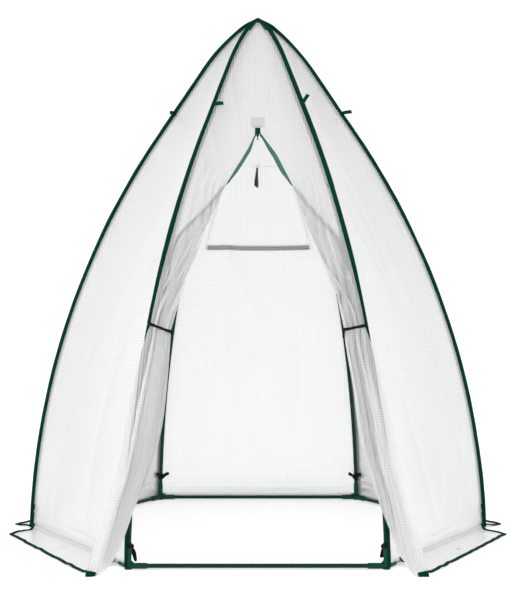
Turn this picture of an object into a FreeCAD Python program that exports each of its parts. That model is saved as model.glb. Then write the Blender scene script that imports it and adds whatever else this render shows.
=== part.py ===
"""Walk-in hexagonal greenhouse: a plug-together tube frame under a grid-reinforced film cover.

Millimetres, +Z up. The origin is on the ground at the centre of the hexagon, and the doorway faces -Y.
Six bowed ribs rise from the corners of the base hexagon and meet in a hub. Every rib follows the same line:
a long bow, a straight stretch and a crown bend. The cover follows the same line, set off outwards from it.
"""
import FreeCAD, Part
import math
import os

import Sketcher

Vector = FreeCAD.Vector
Rotation = FreeCAD.Rotation
Placement = FreeCAD.Placement

UP = Vector(0, 0, 1)
ALONG_X = Vector(1, 0, 0)
ALONG_Y = Vector(0, 1, 0)
ORIGIN = Vector(0, 0, 0)

SIZES = {
    # frame
    "corner_radius": 938.0,
    "base_height": 12.0,
    "tube_radius": 8.0,
    "tube_bore": 7.0,
    "foot_lean": 2.0,
    "bow_radius": 3100.0,
    "bow_end_lean": 34.2,
    "rib_joint_lean": 22.0,
    "straight_length": 340.0,
    "crown_radius": 800.0,
    "crown_end_lean": 52.0,
    "ferrule_radius": 6.6,
    "ferrule_bore": 5.6,
    "ferrule_length": 90.0,
    # corner connectors and apex hub
    "socket_radius": 10.6,
    "socket_bore": 8.3,
    "socket_floor": 20.0,
    "socket_reach": 68.0,
    "upright_reach": 64.0,
    "foot_radius": 14.0,
    "gusset_leg": 30.0,
    "gusset_thickness": 4.0,
    "hub_radius": 24.0,
    "hub_height": 26.0,
    "hub_drop": 12.0,
    "hub_arm_start": 16.0,
    "hub_arm_reach": 76.0,
    "hub_bore": 8.9,
    "hub_floor": 34.0,
    # cover
    "cover_offset": 14.5,
    "film": 1.4,
    "seam_gap": 1.3,
    "cover_hem": 8.0,
    "cap_radius": 40.0,
    "cap_sphere": 66.0,
    "cap_film": 2.0,
    "cap_top": 2149.5,
    "binding_width": 16.0,
    "binding_thickness": 2.0,
    # ground skirt
    "skirt_width": 138.0,
    "skirt_half_inner": 455.0,
    "skirt_half_outer": 420.0,
    "skirt_film": 1.4,
    "skirt_fall": 5.0,
    "edge_band": 14.0,
    "edge_band_thickness": 2.4,
    "eyelet_radius": 9.0,
    "eyelet_hole": 5.0,
    "eyelet_height": 3.0,
    # door and zip
    "zip_top": 1640.0,
    "tie_height": 873.0,
    "door_slit": 7.0,
    "door_mid_half": 205.0,
    "door_mid_height": 1240.0,
    "door_tie_half": 300.0,
    "bundle_centre": 342.0,
    "bundle_half_width": 43.0,
    "bundle_half_depth": 20.0,
    "bundle_stand_off": 5.0,
    "gather_top": 1010.0,
    "gather_centre": 325.0,
    "gather_half_width": 45.0,
    "gather_half_depth": 3.0,
    "gather_lap": 2.0,
    "tail_control_across": 375.0,
    "tail_control_out": 850.0,
    "tail_foot_across": 590.0,
    "tail_foot_out": 958.0,
    "tail_foot_half_width": 30.0,
    "tail_foot_half_depth": 12.0,
    "tail_foot_height": 4.0,
    "tail_swell": 27.0,
    "tape_width": 14.0,
    "tape_film": 0.9,
    "patch_half": 29.0,
    "slider_width": 11.0,
    "slider_length": 20.0,
    "slider_depth": 7.0,
    "slider_slot": 2.0,
    "slider_sink": 4.2,
    "pull_width": 5.0,
    "pull_length": 34.0,
    "pull_thickness": 1.8,
    "pull_eye": 2.4,
    "pull_hole": 1.3,
    "pull_play": 0.3,
    "pin_radius": 1.0,
    "pin_stand_off": 2.8,
    "slider_post": 1.8,
    # tie-back straps, guy loops and foot ribbons
    "strap_width": 14.0,
    "strap_film": 1.5,
    "strap_ease": 0.6,
    "loop_height": 1757.0,
    "loop_length": 48.0,
    "loop_width": 15.0,
    "loop_thickness": 4.0,
    "loop_web": 1.2,
    "ribbon_height": 96.0,
    "ribbon_width": 16.0,
    "ribbon_radius": 9.8,
    "ribbon_bore": 8.2,
    "ribbon_knot": 6.5,
    "ribbon_tail": 46.0,
    "ribbon_splay": 14.0,
    "ribbon_film": 2.0,
    # rear vent window
    "sill_height": 1207.0,
    "sill_half": 236.0,
    "lintel_height": 1567.0,
    "lintel_half": 130.0,
    "flap_overlap": 22.0,
    "hook_strip_height": 22.0,
    "hook_strip_film": 1.4,
    "roll_tie_width": 12.0,
    "roll_tie_film": 1.3,
    "roll_tie_long": 104.0,
    "roll_tie_short": 78.0,
    "roll_tie_gap": 0.8,
    "roll_tie_fold": 6.0,
    "roll_tie_rise": 4.0,
}

# the way each corner and each side faces, in degrees round from +X
CORNERS = {"front_left": -120, "front_right": -60, "right": 0, "rear_right": 60, "rear_left": 120, "left": 180}
SIDES = {"front": -90, "front_right": -30, "rear_right": 30, "rear": 90, "rear_left": 150, "front_left": -150}
WALLED_SIDES = [side for side in SIDES if side != "front"]

document = FreeCAD.newDocument("greenhouse")
sheet = document.addObject("Spreadsheet::Sheet", "sizes")
for row, (alias, value) in enumerate(SIZES.items(), start=1):
    sheet.set(f"A{row}", alias)
    sheet.set(f"B{row}", str(value))
    sheet.setAlias(f"B{row}", alias)
document.recompute()

nodes = {}


def size(alias):
    return float(sheet.get(alias))


def bind(thing, **formulas):
    """Binds properties to the sheet. In a formula, each word that is an alias stands for its cell."""
    for prop, formula in formulas.items():
        words = [f"sizes.{word}" if word in SIZES else word for word in formula.split()]
        thing.setExpression(prop.replace("__", "."), " ".join(words))


def keep(name, thing, placement=None):
    """Names a sub-part, places it and puts it on the list of pieces to write."""
    thing.Label = name
    if placement is not None:
        thing.Placement = placement
    nodes[name] = thing
    return thing


def turned(degrees, axis=UP, about=ORIGIN):
    return Placement(ORIGIN, Rotation(axis, degrees), about)


def primitive(kind, name, placement=None, **formulas):
    thing = document.addObject(f"Part::{kind}", name)
    bind(thing, **formulas)
    if placement is not None:
        thing.Placement = placement
    return thing


def fused(name, pieces):
    thing = document.addObject("Part::MultiFuse", name)
    thing.Shapes = pieces
    return thing


def cut(name, base, tool):
    thing = document.addObject("Part::Cut", name)
    thing.Base = base
    thing.Tool = tool
    return thing


def grouped(name, pieces):
    """Identical small pieces that share one node, as separate solids."""
    thing = document.addObject("Part::Compound", name)
    thing.Links = pieces
    return keep(name, thing)


def shaped(name, shape, placement=None):
    thing = document.addObject("Part::Feature", name)
    thing.Shape = shape
    return keep(name, thing, placement)


# ---------------------------------------------------------------- the line that ribs and cover share

bow_centre = Vector(
    size("corner_radius") - size("bow_radius") * math.cos(math.radians(size("foot_lean"))),
    0,
    size("base_height") - size("bow_radius") * math.sin(math.radians(size("foot_lean"))),
)


def leaning(lean):
    """The outward normal of the rib line, in the XZ plane, where it leans inwards by this many degrees."""
    return Vector(math.cos(math.radians(lean)), 0, math.sin(math.radians(lean)))


def climbing(lean):
    return Vector(-math.sin(math.radians(lean)), 0, math.cos(math.radians(lean)))


bow_end = bow_centre + leaning(size("bow_end_lean")) * size("bow_radius")
straight_end = bow_end + climbing(size("bow_end_lean")) * size("straight_length")
crown_centre = straight_end - leaning(size("bow_end_lean")) * size("crown_radius")


def on_bow(lean, offset=0.0):
    return bow_centre + leaning(lean) * (size("bow_radius") + offset)


def on_crown(lean, offset=0.0):
    return crown_centre + leaning(lean) * (size("crown_radius") + offset)


def bow_lean(height, offset=0.0):
    """How far the bow leans where it passes this height."""
    return math.degrees(math.asin((height - bow_centre.z) / (size("bow_radius") + offset)))


def line_radius(height, offset=0.0):
    """How far from the centre the rib line, set off outwards, is at this height, up to the crown bend."""
    lean = bow_lean(height, offset)
    if lean <= size("bow_end_lean"):
        return on_bow(lean, offset).x
    start = on_bow(size("bow_end_lean"), offset)
    return start.x - (height - start.z) * math.tan(math.radians(size("bow_end_lean")))


def wall_distance(height, offset=0.0):
    """How far from the centre the flat side of the cover is at this height."""
    return line_radius(height, offset) * math.cos(math.radians(30))


# ---------------------------------------------------------------- frame


def plane_of(body, role):
    return next(feature for feature in body.Origin.OriginFeatures if feature.Role == role)


def ring_sketch(body, name, centre, outer, inner, lift=None, axis=None):
    """Two circles on the body's XY plane, centred on its X axis at centre, and an axis line parallel to Y."""
    sketch = body.newObject("Sketcher::SketchObject", name)
    sketch.AttachmentSupport = [(plane_of(body, "XY_Plane"), "")]
    sketch.MapMode = "FlatFace"
    if lift is not None:
        bind(sketch, AttachmentOffset__Base__z=lift)
    start = Vector(size(centre) if centre else 0, 0, 0)
    for index, radius in enumerate((outer, inner)):
        sketch.addGeometry(Part.Circle(start, UP, size(radius)), False)
        rules = [Sketcher.Constraint("PointOnObject", index, 3, -1)]
        rules.append(Sketcher.Constraint("DistanceX", -1, 1, index, 3, start.x))
        rules.append(Sketcher.Constraint("Radius", index, size(radius)))
        sketch.addConstraint(rules)
        if centre:
            bind(sketch, **{f"Constraints[{3 * index + 1}]": centre})
        bind(sketch, **{f"Constraints[{3 * index + 2}]": radius})
    if axis is not None:
        sketch.addGeometry(Part.LineSegment(Vector(1, -10, 0), Vector(1, 10, 0)), True)
        rules = [Sketcher.Constraint("Vertical", 2), Sketcher.Constraint("DistanceX", -1, 1, 2, 1, 1.0)]
        rules.append(Sketcher.Constraint("DistanceY", -1, 1, 2, 1, -10.0))
        rules.append(Sketcher.Constraint("DistanceY", -1, 1, 2, 2, 10.0))
        sketch.addConstraint(rules)
        bind(sketch, **{"Constraints[7]": axis})
    return sketch


def tube_body(name, length, outer="tube_radius", inner="tube_bore"):
    """A straight round tube along +Z."""
    body = document.addObject("PartDesign::Body", name)
    sketch = ring_sketch(body, f"{name}_ring", None, outer, inner)
    pad = body.newObject("PartDesign::Pad", f"{name}_pad")
    pad.Profile = sketch
    bind(pad, Length=length)
    sketch.Visibility = False
    return body


def bow_placement(azimuth, lean):
    """Puts a body whose own origin is the bow's centre, and whose X axis points at the bow where it leans."""
    return turned(azimuth) * Placement(bow_centre, Rotation(ALONG_Y, -lean))


def revolved(body, name, sketch, angle, upwards, axis):
    feature = body.newObject("PartDesign::Revolution", name)
    feature.Profile = sketch
    feature.ReferenceAxis = (sketch, [axis])
    feature.Reversed = upwards
    bind(feature, Angle=angle)
    return feature


def lower_rib(corner, azimuth):
    """The lower half of a rib, bowed, from inside the corner connector to the joint in the rib."""
    name = f"rib_lower_{corner}"
    body = document.addObject("PartDesign::Body", name)
    sketch = ring_sketch(body, f"{name}_ring", "bow_radius", "tube_radius", "tube_bore")
    start = size("foot_lean") + math.degrees((size("socket_floor") + 1) / size("bow_radius"))
    sweep = "rib_joint_lean - foot_lean - ( socket_floor + 1 ) / bow_radius * 180 / pi"
    revolved(body, f"{name}_bow", sketch, sweep, True, "V_Axis")
    keep(name, body, bow_placement(azimuth, start))


def upper_rib(corner, azimuth):
    """The upper half of a rib: the end of the bow, the straight stretch and the crown bend into the hub."""
    name = f"rib_upper_{corner}"
    body = document.addObject("PartDesign::Body", name)
    sketch = ring_sketch(body, f"{name}_ring", "bow_radius", "tube_radius", "tube_bore")
    revolved(body, f"{name}_bow", sketch, "bow_end_lean - rib_joint_lean - 0.004", False, "V_Axis")
    pad = body.newObject("PartDesign::Pad", f"{name}_straight")
    pad.Profile = sketch
    bind(pad, Length="straight_length")
    axis = "bow_radius - crown_radius"
    top_name = f"{name}_top_ring"
    top = ring_sketch(body, top_name, "bow_radius", "tube_radius", "tube_bore", "straight_length", axis)
    revolved(body, f"{name}_crown", top, "crown_end_lean - bow_end_lean", True, "Axis0")
    keep(name, body, bow_placement(azimuth, size("bow_end_lean")))


def socket(name, placement, reach, bore="socket_bore", floor="socket_floor"):
    """One round socket arm along its own +Z, as (outside, bore)."""
    outside = primitive("Cylinder", f"{name}_out", placement, Radius="socket_radius", Height=reach)
    inside_place = placement * Placement(UP * size(floor), Rotation())
    inside = primitive("Cylinder", f"{name}_in", inside_place, Radius=bore, Height=reach)
    return outside, inside


def corner_connector(corner, azimuth):
    """A three-way moulded elbow: two sockets along the base sides, one up the rib, webs and a flat foot."""
    name = f"corner_connector_{corner}"
    upright_lean = size("foot_lean") + math.degrees(size("upright_reach") / 2 / size("bow_radius"))
    heads = {
        "left": Rotation(UP, 120) * Rotation(ALONG_Y, 90),
        "right": Rotation(UP, -120) * Rotation(ALONG_Y, 90),
        "up": Rotation(ALONG_Y, -upright_lean),
    }
    arms = []
    for head, turn in heads.items():
        reach = "upright_reach" if head == "up" else "socket_reach"
        arms.append(socket(f"{name}_{head}", Placement(ORIGIN, turn), reach))
    ball = primitive("Sphere", f"{name}_ball", Radius="socket_radius")
    foot_place = Placement(UP * -size("base_height"), Rotation())
    foot = primitive("Cylinder", f"{name}_foot", foot_place, Radius="foot_radius", Height="base_height / 2")
    stem_radius = "socket_radius * 0.8"
    stem = primitive("Cylinder", f"{name}_stem", foot_place, Radius=stem_radius, Height="base_height")
    webs = []
    for turn in (120, -120):
        web = primitive(
            "Wedge",
            f"{name}_web_{'left' if turn > 0 else 'right'}",
            Placement(ORIGIN, Rotation(UP, turn) * Rotation(ALONG_X, 90)),
            Xmax="gusset_leg",
            X2max="gusset_leg / 20",
            Ymax="gusset_leg",
            Zmin="0 - gusset_thickness / 2",
            Zmax="gusset_thickness / 2",
            Z2min="0 - gusset_thickness / 2",
            Z2max="gusset_thickness / 2",
        )
        web.Xmin = 0
        web.Ymin = 0
        web.X2min = 0
        webs.append(web)
    solid = fused(f"{name}_solid", [arm[0] for arm in arms] + [ball, foot, stem] + webs)
    bores = fused(f"{name}_bores", [arm[1] for arm in arms])
    place = turned(azimuth) * Placement(Vector(size("corner_radius"), 0, size("base_height")), Rotation())
    keep(name, cut(name, solid, bores), place)


def base_tube(side, azimuth):
    """A straight ground tube between two corner connectors."""
    name = f"base_tube_{side}"
    body = tube_body(name, "corner_radius - 2 * ( socket_floor + 1 )")
    middle = Vector(size("corner_radius") * math.cos(math.radians(30)), 0, size("base_height"))
    start = middle - ALONG_Y * (size("corner_radius") / 2 - size("socket_floor") - 1)
    keep(name, body, turned(azimuth) * Placement(start, Rotation(ALONG_X, -90)))


def apex_hub():
    """The six-way crown piece that the ribs plug into."""
    lean = size("crown_end_lean")
    rib_end = on_crown(lean)
    meet = rib_end + climbing(lean) * (rib_end.x / math.sin(math.radians(lean)))
    arms = []
    for corner, azimuth in CORNERS.items():
        root = meet - climbing(lean) * size("hub_arm_start")
        place = turned(azimuth) * Placement(root, Rotation(ALONG_Y, 180 - lean))
        arms.append(socket(f"apex_hub_{corner}", place, "hub_arm_reach", "hub_bore", "hub_floor"))
    drum_place = Placement(meet - UP * (size("hub_height") + size("hub_drop")), Rotation())
    drum = primitive("Cylinder", "apex_hub_drum", drum_place, Radius="hub_radius", Height="hub_height")
    solid = fused("apex_hub_solid", [arm[0] for arm in arms] + [drum])
    bores = fused("apex_hub_bores", [arm[1] for arm in arms])
    keep("apex_hub", cut("apex_hub", solid, bores))


def rib_ferrules():
    """A short sleeve inside each rib bridges the joint between its two halves."""
    sleeves = []
    centre = on_bow(size("rib_joint_lean"))
    for corner, azimuth in CORNERS.items():
        body = tube_body(f"ferrule_{corner}", "ferrule_length", "ferrule_radius", "ferrule_bore")
        tilt = Placement(centre, Rotation(ALONG_Y, -size("rib_joint_lean")))
        lowered = Placement(UP * (-size("ferrule_length") / 2), Rotation())
        body.Placement = turned(azimuth) * tilt * lowered
        sleeves.append(body)
    grouped("rib_ferrules", sleeves)


# ---------------------------------------------------------------- cover

HIGH = 2300.0
FAR = 1100.0
PROFILE_START = size("foot_lean") - 1
PROFILE_END = 55.5


def profile_edges(offset):
    """The rib line set off outwards, from below the ground to the crown: a bow, a straight and a bend."""
    halfway = (PROFILE_START + size("bow_end_lean")) / 2
    turn = (size("bow_end_lean") + PROFILE_END) / 2
    bow_top = on_bow(size("bow_end_lean"), offset)
    bow = Part.Arc(on_bow(PROFILE_START, offset), on_bow(halfway, offset), bow_top)
    knee = on_crown(size("bow_end_lean"), offset)
    straight = Part.LineSegment(on_bow(size("bow_end_lean"), offset), knee)
    crown = Part.Arc(knee, on_crown(turn, offset), on_crown(PROFILE_END, offset))
    return [bow.toShape(), straight.toShape(), crown.toShape()]


def profile_face(inner, outer):
    """The strip between two offsets of the rib line, in the XZ plane."""
    low = Part.LineSegment(on_bow(PROFILE_START, inner), on_bow(PROFILE_START, outer)).toShape()
    top = Part.LineSegment(on_crown(PROFILE_END, inner), on_crown(PROFILE_END, outer)).toShape()
    edges = profile_edges(outer) + [top] + profile_edges(inner) + [low]
    return Part.Face(Part.Wire(Part.__sortEdges__(edges)))


def slab(low, high):
    return Part.makeBox(2 * FAR, 2 * FAR, high - low, Vector(-FAR, -FAR, low))


def prism(points, start, direction):
    """A straight-sided prism on a closed outline."""
    outline = Part.makePolygon([start + point for point in points + points[:1]])
    return Part.Face(outline).extrude(direction)


def gore(inner, outer, low, high):
    """A whole side of the cover, facing +X: the rib line drawn out level from one seam to the other."""
    gap = size("seam_gap")
    strip = profile_face(size("cover_offset") + inner, size("cover_offset") + outer)
    strip.rotate(ORIGIN, UP, 30)
    wall = strip.extrude(ALONG_Y * -FAR)
    tip = gap / math.sin(math.radians(30))
    reach = (FAR - tip) * math.tan(math.radians(30))
    corner_points = [Vector(tip, 0, 0), Vector(FAR, reach, 0), Vector(FAR, -reach, 0)]
    wedge = prism(corner_points, Vector(0, 0, low), UP * (high - low))
    core = Part.makeCylinder(size("cap_radius") - 6, HIGH)
    return wall.common(wedge).cut(core)


def side_place(side):
    return turned(SIDES[side])


def outline_prism(points):
    """A prism through the wall, facing +X, on an outline given as (across, height)."""
    return prism([Vector(0, across, height) for across, height in points], ORIGIN, ALONG_X * FAR)


def window_outline(grow_side, grow_low, grow_high):
    """The rear window's trapezoid, grown sideways, downwards and upwards, with its slanted sides kept."""
    slope = (size("sill_half") - size("lintel_half")) / (size("lintel_height") - size("sill_height"))
    low = size("sill_height") - grow_low
    high = size("lintel_height") + grow_high
    half_low = size("sill_half") + grow_side + slope * grow_low
    half_high = size("lintel_half") + grow_side - slope * grow_high
    return [(-half_low, low), (half_low, low), (half_high, high), (-half_high, high)]


def walls():
    for side in WALLED_SIDES:
        wall = gore(-size("film"), 0, size("cover_hem"), HIGH)
        if side == "rear":
            wall = wall.cut(outline_prism(window_outline(0, 0, 0)))
        shaped(f"wall_{side}", wall, side_place(side))
    top = gore(-size("film"), 0, size("zip_top"), HIGH)
    shaped("front_top_panel", top, side_place("front"))


def apex_cap():
    """A small domed cap over the point where the six seams meet."""
    centre = UP * (size("cap_top") - size("cap_sphere"))
    outer = Part.makeSphere(size("cap_sphere"), centre)
    inner = Part.makeSphere(size("cap_sphere") - size("cap_film"), centre)
    disc = Part.makeCylinder(size("cap_radius"), HIGH, Vector(0, 0, centre.z))
    shaped("apex_cap", outer.cut(inner).common(disc))


def seam_bindings():
    """One folded tape stands out along each of the six seams."""
    fins = []
    low = slab(size("cover_hem"), HIGH)
    core = Part.makeCylinder(size("cap_radius") + 1, HIGH)
    half = size("binding_thickness") / 2
    for corner, azimuth in CORNERS.items():
        strip = profile_face(size("cover_offset") - 1, size("cover_offset") + size("binding_width"))
        strip.translate(ALONG_Y * -half)
        fin = strip.extrude(ALONG_Y * 2 * half).common(low).cut(core)
        fin.rotate(ORIGIN, UP, azimuth)
        fins.append(fin)
    shaped("seam_bindings", Part.makeCompound(fins))


def skirt_plate(inset, thickness, sink):
    """The sloping ground flap of one side, facing +X, with its three free edges drawn in by inset."""
    start = wall_distance(size("cover_hem"), size("cover_offset")) + 0.5
    end = start + size("skirt_width") - inset
    fall = math.atan2(size("skirt_fall"), size("skirt_width"))
    high = size("cover_hem") - 1 - sink
    inner_half = size("skirt_half_inner") - inset
    outer_half = size("skirt_half_outer") - inset
    points = [(start, -inner_half), (end, -outer_half), (end, outer_half), (start, inner_half)]
    drop = [high - (x - start) * math.tan(fall) for x, _ in points]
    outline = [Vector(x, y, z) for (x, y), z in zip(points, drop)]
    return prism(outline, ORIGIN, UP * -thickness)


def skirts():
    bands = []
    eyelets = []
    middle = wall_distance(size("cover_hem"), size("cover_offset")) + size("skirt_width") * 0.55
    level = size("cover_hem") - 1 - size("skirt_fall") * 0.55
    extra = (size("edge_band_thickness") - size("skirt_film")) / 2
    for side in WALLED_SIDES:
        hole = Part.makeCylinder(size("eyelet_radius") + 0.2, HIGH, Vector(middle, 0, -HIGH / 2))
        plate = skirt_plate(size("edge_band"), size("skirt_film"), 0)
        shaped(f"skirt_{side}", plate.cut(hole), side_place(side))
        rim = skirt_plate(0, size("edge_band_thickness"), -extra)
        opening = skirt_plate(size("edge_band") - 0.2, 4 * size("edge_band_thickness"), -size("skirt_fall"))
        opening.translate(ALONG_X * -0.1)
        band = rim.cut(opening)
        band.Placement = side_place(side)
        bands.append(band)
        name = f"eyelet_{side}"
        place = side_place(side) * Placement(Vector(middle, 0, level - size("eyelet_height") / 2), Rotation())
        ring = primitive("Cylinder", f"{name}_ring", Radius="eyelet_radius", Height="eyelet_height")
        bore = primitive("Cylinder", f"{name}_bore", Radius="eyelet_hole", Height="eyelet_height")
        eyelet = cut(name, ring, bore)
        eyelet.Placement = place
        eyelets.append(eyelet)
    shaped("skirt_bindings", Part.makeCompound(bands))
    grouped("skirt_eyelets", eyelets)


# ---------------------------------------------------------------- door


def free_edge(sign, shift=0.0):
    """The drawn-back edge of a door half, as an arc from the head of the zip to the tie-back."""
    slit = size("door_slit") + shift
    start = Vector(0, sign * slit, size("zip_top") - 0.5)
    middle = Vector(0, sign * (size("door_mid_half") + shift), size("door_mid_height"))
    end = Vector(0, sign * (size("door_tie_half") + shift), size("tie_height") + size("strap_width"))
    return Part.Arc(start, middle, end).toShape()


def band_prism(sign, near, far):
    """A prism through the wall, facing +X, between the free edge and a line set off from it."""
    inner = free_edge(sign, near)
    outer = free_edge(sign, far)
    ends = []
    for which in (0, -1):
        first = inner.Vertexes[which].Point
        ends.append(Part.LineSegment(first, outer.Vertexes[which].Point).toShape())
    outline = Part.Wire(Part.__sortEdges__([inner, ends[1], outer, ends[0]]))
    return Part.Face(outline).extrude(ALONG_X * FAR)


def ellipse_wire(height, across, out, half_width, half_depth):
    """A level ellipse beside the wall that faces +X, wide across the wall."""
    centre = Vector(out, across, height)
    ellipse = Part.Ellipse(centre + ALONG_Y * half_width, centre + ALONG_X * half_depth, centre)
    return Part.Wire([ellipse.toShape()])


def bundle_out():
    return wall_distance(size("tie_height"), size("cover_offset")) + size("bundle_stand_off")


def bundle_section(sign, height, ease=0.0):
    half_width = size("bundle_half_width") + ease
    half_depth = size("bundle_half_depth") + ease
    return ellipse_wire(height, sign * size("bundle_centre"), bundle_out(), half_width, half_depth)


def door_upper(name, sign):
    """A door half above its tie-back: wall film that draws together into a tied bundle beside the rib."""
    low = size("gather_top") - size("gather_lap")
    film = gore(-size("film"), 0, low, size("zip_top") - 0.5).common(band_prism(sign, 0, FAR / 2))
    out = wall_distance(size("gather_top"), size("cover_offset")) - size("film") / 2
    gathered = ellipse_wire(
        size("gather_top"),
        sign * size("gather_centre"),
        out,
        size("gather_half_width"),
        size("gather_half_depth"),
    )
    under_tie = size("tie_height") - size("strap_width") * 0.8
    neck = size("tie_height") + size("strap_width")
    bundle = Part.makeLoft([bundle_section(sign, under_tie), bundle_section(sign, neck), gathered], True, True)
    shaped(name, film.fuse(bundle), side_place("front"))


def door_tail(name, sign):
    """A door half below its tie-back: it hangs from the bundle and spreads outwards to its foot."""
    top = size("tie_height") - size("strap_width") * 0.8 - 1
    fall = top - size("tail_foot_height")
    sections = []
    steps = 4
    for step in range(steps + 1):
        share = step / steps
        weights = ((1 - share) ** 2, 2 * share * (1 - share), share**2)
        across_stops = (size("bundle_centre"), size("tail_control_across"), size("tail_foot_across"))
        out_stops = (bundle_out(), size("tail_control_out"), size("tail_foot_out"))
        across = sum(weight * stop for weight, stop in zip(weights, across_stops))
        out = sum(weight * stop for weight, stop in zip(weights, out_stops))
        swell = size("tail_swell") * math.sin(math.pi * share)
        half_width = size("bundle_half_width") * (1 - share) + size("tail_foot_half_width") * share + swell
        half_depth = size("bundle_half_depth") * (1 - share) + size("tail_foot_half_depth") * share + swell / 3
        sections.append(ellipse_wire(top - fall * share, sign * across, out, half_width, half_depth))
    shaped(name, Part.makeLoft(sections, True, False), side_place("front"))


def tie_back(side, sign):
    """A strap round the bundle: its outer leg opens from the rib side, its inner leg is sewn to the seam."""
    low = size("tie_height") - size("strap_width") / 2
    inner = bundle_section(sign, low, size("strap_ease"))
    outer = bundle_section(sign, low, size("strap_ease") + size("strap_film"))
    ring = Part.Face(outer).cut(Part.Face(inner)).extrude(UP * size("strap_width"))
    gap = size("strap_film") / 4
    for leg, shift in (("outer", gap), ("inner", -FAR - gap)):
        half_space = Part.makeBox(FAR, 2 * FAR, HIGH, Vector(bundle_out() + shift, -FAR, 0))
        shaped(f"strap_{leg}_{side}", ring.common(half_space), side_place("front"))


def zip_tape(name, sign):
    """A zip tape along the inside of a door half's free edge."""
    lift = size("film") + 0.3
    low = size("gather_top") + size("tape_width")
    strip = gore(-lift - size("tape_film"), -lift, low, size("zip_top") - 1)
    shaped(name, strip.common(band_prism(sign, 0.5, size("tape_width"))), side_place("front"))


def zip_patch():
    """A square reinforcement on the outside of the front panel, over the head of the zip."""
    low = size("zip_top") + 4
    high = low + 2 * size("patch_half") * math.cos(math.radians(size("bow_end_lean")))
    half = size("patch_half")
    square = outline_prism([(-half, low), (half, low), (half, high), (-half, high)])
    shaped("zip_head_patch", gore(0.3, 0.3 + size("tape_film"), low, high).common(square), side_place("front"))


def slider_place():
    """The zip slider's frame on the film's outer face: X across, Y out of the doorway, Z up along the wall."""
    height = size("zip_top") - size("slider_length") * 0.62
    out = wall_distance(height, size("cover_offset"))
    slope = math.tan(math.radians(bow_lean(height, size("cover_offset")))) * math.cos(math.radians(30))
    lean = Rotation(ALONG_X, -math.degrees(math.atan(slope)))
    return Placement(Vector(0, -out, height), lean) * turned(180)


def slider_pin():
    """Where the pull's pin crosses the slider's frame."""
    return Vector(0, size("slider_depth") - size("slider_sink") + size("pin_stand_off"), 0)


def box_at(name, corner, **formulas):
    return primitive("Box", name, Placement(corner, Rotation()), **formulas)


def zip_slider():
    """The slider's body with a slot each side for the teeth, and two posts and a pin that carry the pull."""
    half_width = size("slider_width") / 2
    half_length = size("slider_length") / 2
    post = size("slider_post")
    pin = slider_pin()
    block_corner = Vector(-half_width, -size("slider_sink"), -half_length)
    pieces = [
        box_at(
            "zip_slider_block",
            block_corner,
            Length="slider_width",
            Width="slider_depth",
            Height="slider_length",
        )
    ]
    slots = []
    for side, sign in (("left", -1), ("right", 1)):
        slot_start = -half_width if sign < 0 else half_width - size("slider_width") / 3
        slot_corner = Vector(slot_start, -size("slider_slot"), -half_length)
        slots.append(
            box_at(
                f"zip_slider_slot_{side}",
                slot_corner,
                Length="slider_width / 3",
                Width="slider_slot",
                Height="slider_length",
            )
        )
        post_start = sign * (size("pull_width") / 2 + post) - (0 if sign < 0 else post)
        post_corner = Vector(post_start, block_corner.y + size("slider_depth") - post / 2, -post / 2)
        post_out = "pin_stand_off + slider_post"
        post_name = f"zip_slider_post_{side}"
        upright = box_at(post_name, post_corner, Length="slider_post", Width=post_out, Height="slider_post")
        pieces.append(upright)
    pin_place = Placement(pin - ALONG_X * (size("pull_width") / 2 + post / 2), Rotation(ALONG_Y, 90))
    pin_length = "pull_width + slider_post"
    pieces.append(primitive("Cylinder", "zip_slider_pin", pin_place, Radius="pin_radius", Height=pin_length))
    solid = fused("zip_slider_solid", pieces)
    keep("zip_slider", cut("zip_slider", solid, fused("zip_slider_slots", slots)), slider_place())


def zip_pull():
    """The pull hangs from the slider's pin by an eye."""
    pin = slider_pin()
    eye_half = size("pull_width") / 2 - size("pull_play")
    eye_place = Placement(pin - ALONG_X * eye_half, Rotation(ALONG_Y, 90))
    eye_length = "pull_width - 2 * pull_play"
    eye = primitive("Cylinder", "zip_pull_eye", eye_place, Radius="pull_eye", Height=eye_length)
    bore = primitive("Cylinder", "zip_pull_bore", eye_place, Radius="pull_hole", Height=eye_length)
    corner = pin + Vector(-eye_half, -size("pull_thickness") / 2, -size("pull_length"))
    tab_height = "pull_length - pull_eye * 0.75"
    tab = box_at("zip_pull_tab", corner, Length=eye_length, Width="pull_thickness", Height=tab_height)
    keep("zip_pull", cut("zip_pull", fused("zip_pull_solid", [eye, tab]), bore), slider_place())


# ---------------------------------------------------------------- window, loops and ribbons


def vent_window():
    """The rear window's outer flap, the hook-and-loop strip under its foot, and the tie for its roll."""
    overlap = size("flap_overlap")
    strip_depth = size("hook_strip_film")
    stand_off = strip_depth + 0.6
    flap_outline = outline_prism(window_outline(overlap, overlap, 0))
    high = size("lintel_height")
    flap = gore(stand_off, stand_off + size("film"), size("sill_height") - overlap, high).common(flap_outline)
    shaped("window_flap", flap, side_place("rear"))
    low = size("sill_height") - size("hook_strip_height")
    strip_outline = outline_prism(window_outline(0, size("hook_strip_height"), 0))
    strip = gore(0.3, 0.3 + strip_depth, low, size("sill_height") - 0.5).common(strip_outline)
    shaped("window_hook_strip", strip, side_place("rear"))


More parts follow.
